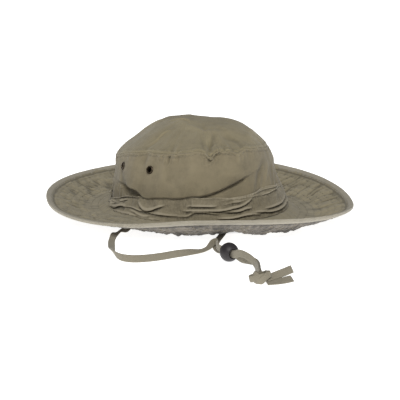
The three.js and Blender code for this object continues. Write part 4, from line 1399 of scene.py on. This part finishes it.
class HAT_OT_eyelets(bpy.types.Operator):
    """Makes the four rolled brass eyelets"""

    bl_idname = "hat.make_eyelets"
    bl_label = "Eyelets"

    def execute(self, context):
        metal = hard_material(
            "blackened_brass", context.scene.hat_colours.metal, worn=(0.13, 0.10, 0.06), roughness=0.36,
            metallic=0.7, scale=900,
        )
        section = [
            (2.75, -1.6), (2.7, -0.6), (2.7, 0.9), (2.8, 1.5), (3.1, 1.75), (3.4, 1.72), (3.9, 1.4),
            (4.2, 0.95), (4.1, 0.7), (3.1, 0.75), (3.0, -1.2), (3.6, -1.4), (3.7, -1.7), (3.3, -2.0),
            (2.9, -1.95),
        ]
        for row in EYELET_ROWS:
            centre, outward = eyelet_frame(row)
            piece = finish_mesh(spun_ring(section, outward, centre, EYELET_STEPS), row[0] + "_ring")
            settle(piece, metal, "eyelet_metal", row[0])
        return {"FINISHED"}


class HAT_OT_strap(bpy.types.Operator):
    """Makes the chin strap's two tapes, its knot, tails and slider ball"""

    bl_idname = "hat.make_strap"
    bl_label = "Chin Strap"

    def execute(self, context):
        colours, sizes = context.scene.hat_colours, context.scene.hat_sizes
        cotton = cloth_material(
            "tape_cotton", colours.tape, 1.12, 0.66, 0.85 * MM, weave_depth=1.0, mottle=0.35, crumple=0.2
        )
        left, left_path = tape_mesh("strap_left_tape", LEFT_ROUTE + pair_rows(1))
        right, right_path = tape_mesh("strap_right_tape", RIGHT_ROUTE + pair_rows(-1))
        upper, _ = tape_mesh("strap_tail_upper_tape", UPPER_TAIL_ROUTE)
        lower, _ = tape_mesh("strap_tail_lower_tape", LOWER_TAIL_ROUTE)
        knot = self.knot()
        ball = self.ball(sizes.ball_radius / MM)
        for piece, cad in (
            (left, "strap_left"),
            (right, "strap_right"),
            (upper, "strap_tail_upper"),
            (lower, "strap_tail_lower"),
            (knot, "strap_knot"),
        ):
            settle(piece, cotton, "strap_tape", cad)
        wood = hard_material(
            "stained_wood", colours.ball, worn=(0.023, 0.018, 0.021), roughness=0.52,
            metallic=0.0, scale=260, coat=0.06,
        )
        settle(ball, wood, "ball_wood", "slider_ball")
        return {"FINISHED"}

    def knot(self):
        """Three flat wraps of the tape pulled tight over each other."""
        bm = bmesh.new()
        for half_length, half_depth, width, roll, lean, along, up in KNOT_WRAPS:
            loop = bmesh.new()
            bmesh.ops.create_grid(loop, x_segments=48, y_segments=16, size=0.5)
            level = Matrix.Rotation(math.radians(KNOT_TURN), 4, "Z")
            leant = Matrix.Rotation(math.radians(lean), 4, "X")
            turn = level @ leant @ Matrix.Rotation(math.radians(roll), 4, "Y")
            centre = KNOT_CENTRE + level @ Vector((along, 0, up))
            for vert in loop.verts:
                round_turn = math.tau * (vert.co.x + 0.5)
                across, lift = tape_section(math.tau * (vert.co.y + 0.5), width, KNOT_THICKNESS)
                a = (half_length + lift) * swelled(math.cos(round_turn), 0.8)
                b = (half_depth + lift) * swelled(math.sin(round_turn), 0.8)
                place = centre + turn @ Vector((a, b, across))
                place.z = max(place.z, 0.1)
                vert.co = place * MM
            bmesh.ops.remove_doubles(loop, verts=loop.verts, dist=0.01 * MM)
            bmesh.ops.recalc_face_normals(loop, faces=loop.faces)
            part = bpy.data.meshes.new("wrap")
            loop.to_mesh(part)
            loop.free()
            bm.from_mesh(part)
            bpy.data.meshes.remove(part)
        return finish_mesh(bm, "strap_knot_wraps")

    def ball(self, radius):
        """A ball turned round its bore, with the bore's two lips eased."""
        flat = math.acos((BALL_BORE + 0.7) / radius)
        section = [
            (radius * math.cos(turn), radius * math.sin(turn)) for turn in np.linspace(-flat, flat, 25)
        ]
        top, lip = radius * math.sin(flat), BALL_BORE + 0.25
        section += [(lip, top + 0.1), (BALL_BORE, top - 0.4), (BALL_BORE, -top + 0.4), (lip, -top - 0.1)]
        return finish_mesh(spun_ring(section, BALL_AXIS, BALL_CENTRE, BALL_STEPS), "slider_ball_turned")


class HAT_OT_stage(bpy.types.Operator):
    """Sets the pale floor, the soft studio light and the camera"""

    bl_idname = "hat.make_stage"
    bl_label = "Stage"

    def execute(self, context):
        self.floor()
        self.light(context.scene)
        self.camera(context.scene)
        context.scene.view_settings.view_transform = "Standard"
        return {"FINISHED"}

    def floor(self):
        """A pale floor that glows outside the brim's low ring and stays dull under the crown."""
        bm = bmesh.new()
        bmesh.ops.create_grid(bm, x_segments=1, y_segments=1, size=FLOOR_HALF)
        floor = finish_mesh(bm, "floor")
        paper = bpy.data.materials.new("pale_paper")
        paper.use_nodes = True
        sockets = paper.node_tree.nodes["Principled BSDF"].inputs
        sockets["Base Color"].default_value = (0.93, 0.93, 0.93, 1)
        sockets["Roughness"].default_value = 1.0
        sockets["Specular IOR Level"].default_value = 0.0
        sockets["Emission Color"].default_value = (1, 1, 1, 1)
        tree = paper.node_tree
        place = node(tree, "ShaderNodeTexCoord").outputs["Object"]
        away = node(tree, "ShaderNodeVectorMath", operation="LENGTH")
        tree.links.new(place, away.inputs[0])
        glow = math_node(tree, "MULTIPLY", spread_value(tree, away.outputs["Value"], *FLOOR_GLOW), 0.85)
        tree.links.new(glow, sockets["Emission Strength"])
        floor.data.materials.append(paper)

    def light(self, scene):
        """A pale sky and one soft key light, high behind the camera."""
        world = bpy.data.worlds.new("studio")
        world.use_nodes = True
        sky = world.node_tree.nodes["Background"].inputs
        sky["Color"].default_value = (0.97, 0.985, 1.0, 1)
        sky["Strength"].default_value = 0.3
        scene.world = world
        key = bpy.data.lights.new("key", "SUN")
        key.energy = 2.0
        key.angle = math.radians(24)
        key.color = (1.0, 0.985, 0.95)
        self.aim(scene, bpy.data.objects.new("key", key), KEY_FROM.normalized())

    def camera(self, scene):
        """One metre off, over the left front of the hat."""
        lens = bpy.data.cameras.new("camera")
        lens.lens = 85.5
        lens.sensor_width = 36
        lens.shift_x = 0.00575
        lens.shift_y = 0.005
        lens.clip_start, lens.clip_end = 0.01, 200
        camera = bpy.data.objects.new("camera", lens)
        turn, lift = math.radians(CAMERA_TURN), math.radians(CAMERA_LIFT)
        back = Vector((math.sin(turn) * math.cos(lift), -math.cos(turn) * math.cos(lift), math.sin(lift)))
        camera.location = CAMERA_AIM + back
        self.aim(scene, camera, back)
        scene.camera = camera

    def aim(self, scene, thing, back):
        """Puts the light or camera in the scene, looking against the direction `back`."""
        thing.rotation_mode = "QUATERNION"
        thing.rotation_quaternion = (-back).to_track_quat("-Z", "Y")
        scene.collection.objects.link(thing)


class HAT_PT_pieces(bpy.types.Panel):
    """Lists the hat's pieces and settings"""

    bl_idname = "HAT_PT_pieces"
    bl_label = "Safari Hat"
    bl_space_type = "VIEW_3D"
    bl_region_type = "UI"
    bl_category = "Hat"

    def draw(self, context):
        layout = self.layout
        for operator in OPERATORS:
            layout.operator(operator.bl_idname)
        for settings in (context.scene.hat_sizes, context.scene.hat_colours):
            for key in settings.__annotations__:
                layout.prop(settings, key)


OPERATORS = (
    HAT_OT_stage,
    HAT_OT_strap,
    HAT_OT_crown_side,
    HAT_OT_crown_tip,
    HAT_OT_loop_band,
    HAT_OT_brim,
    HAT_OT_binding,
    HAT_OT_stitching,
    HAT_OT_eyelets,
)
CLASSES = (HatColours, HatSizes, *OPERATORS, HAT_PT_pieces)


def register():
    for cls in CLASSES:
        bpy.utils.register_class(cls)
    bpy.types.Scene.hat_colours = PointerProperty(type=HatColours)
    bpy.types.Scene.hat_sizes = PointerProperty(type=HatSizes)


def unregister():
    del bpy.types.Scene.hat_colours
    del bpy.types.Scene.hat_sizes
    for cls in reversed(CLASSES):
        bpy.utils.unregister_class(cls)


def main():
    register()
    bpy.ops.hat.make_stage()
    bpy.ops.hat.make_strap()
    bpy.ops.hat.make_crown_side()
    bpy.ops.hat.make_crown_tip()
    bpy.ops.hat.make_loop_band()
    bpy.ops.hat.make_brim()
    bpy.ops.hat.make_binding()
    bpy.ops.hat.make_stitching()
    bpy.ops.hat.make_eyelets()


if __name__ == "__main__":
    main()
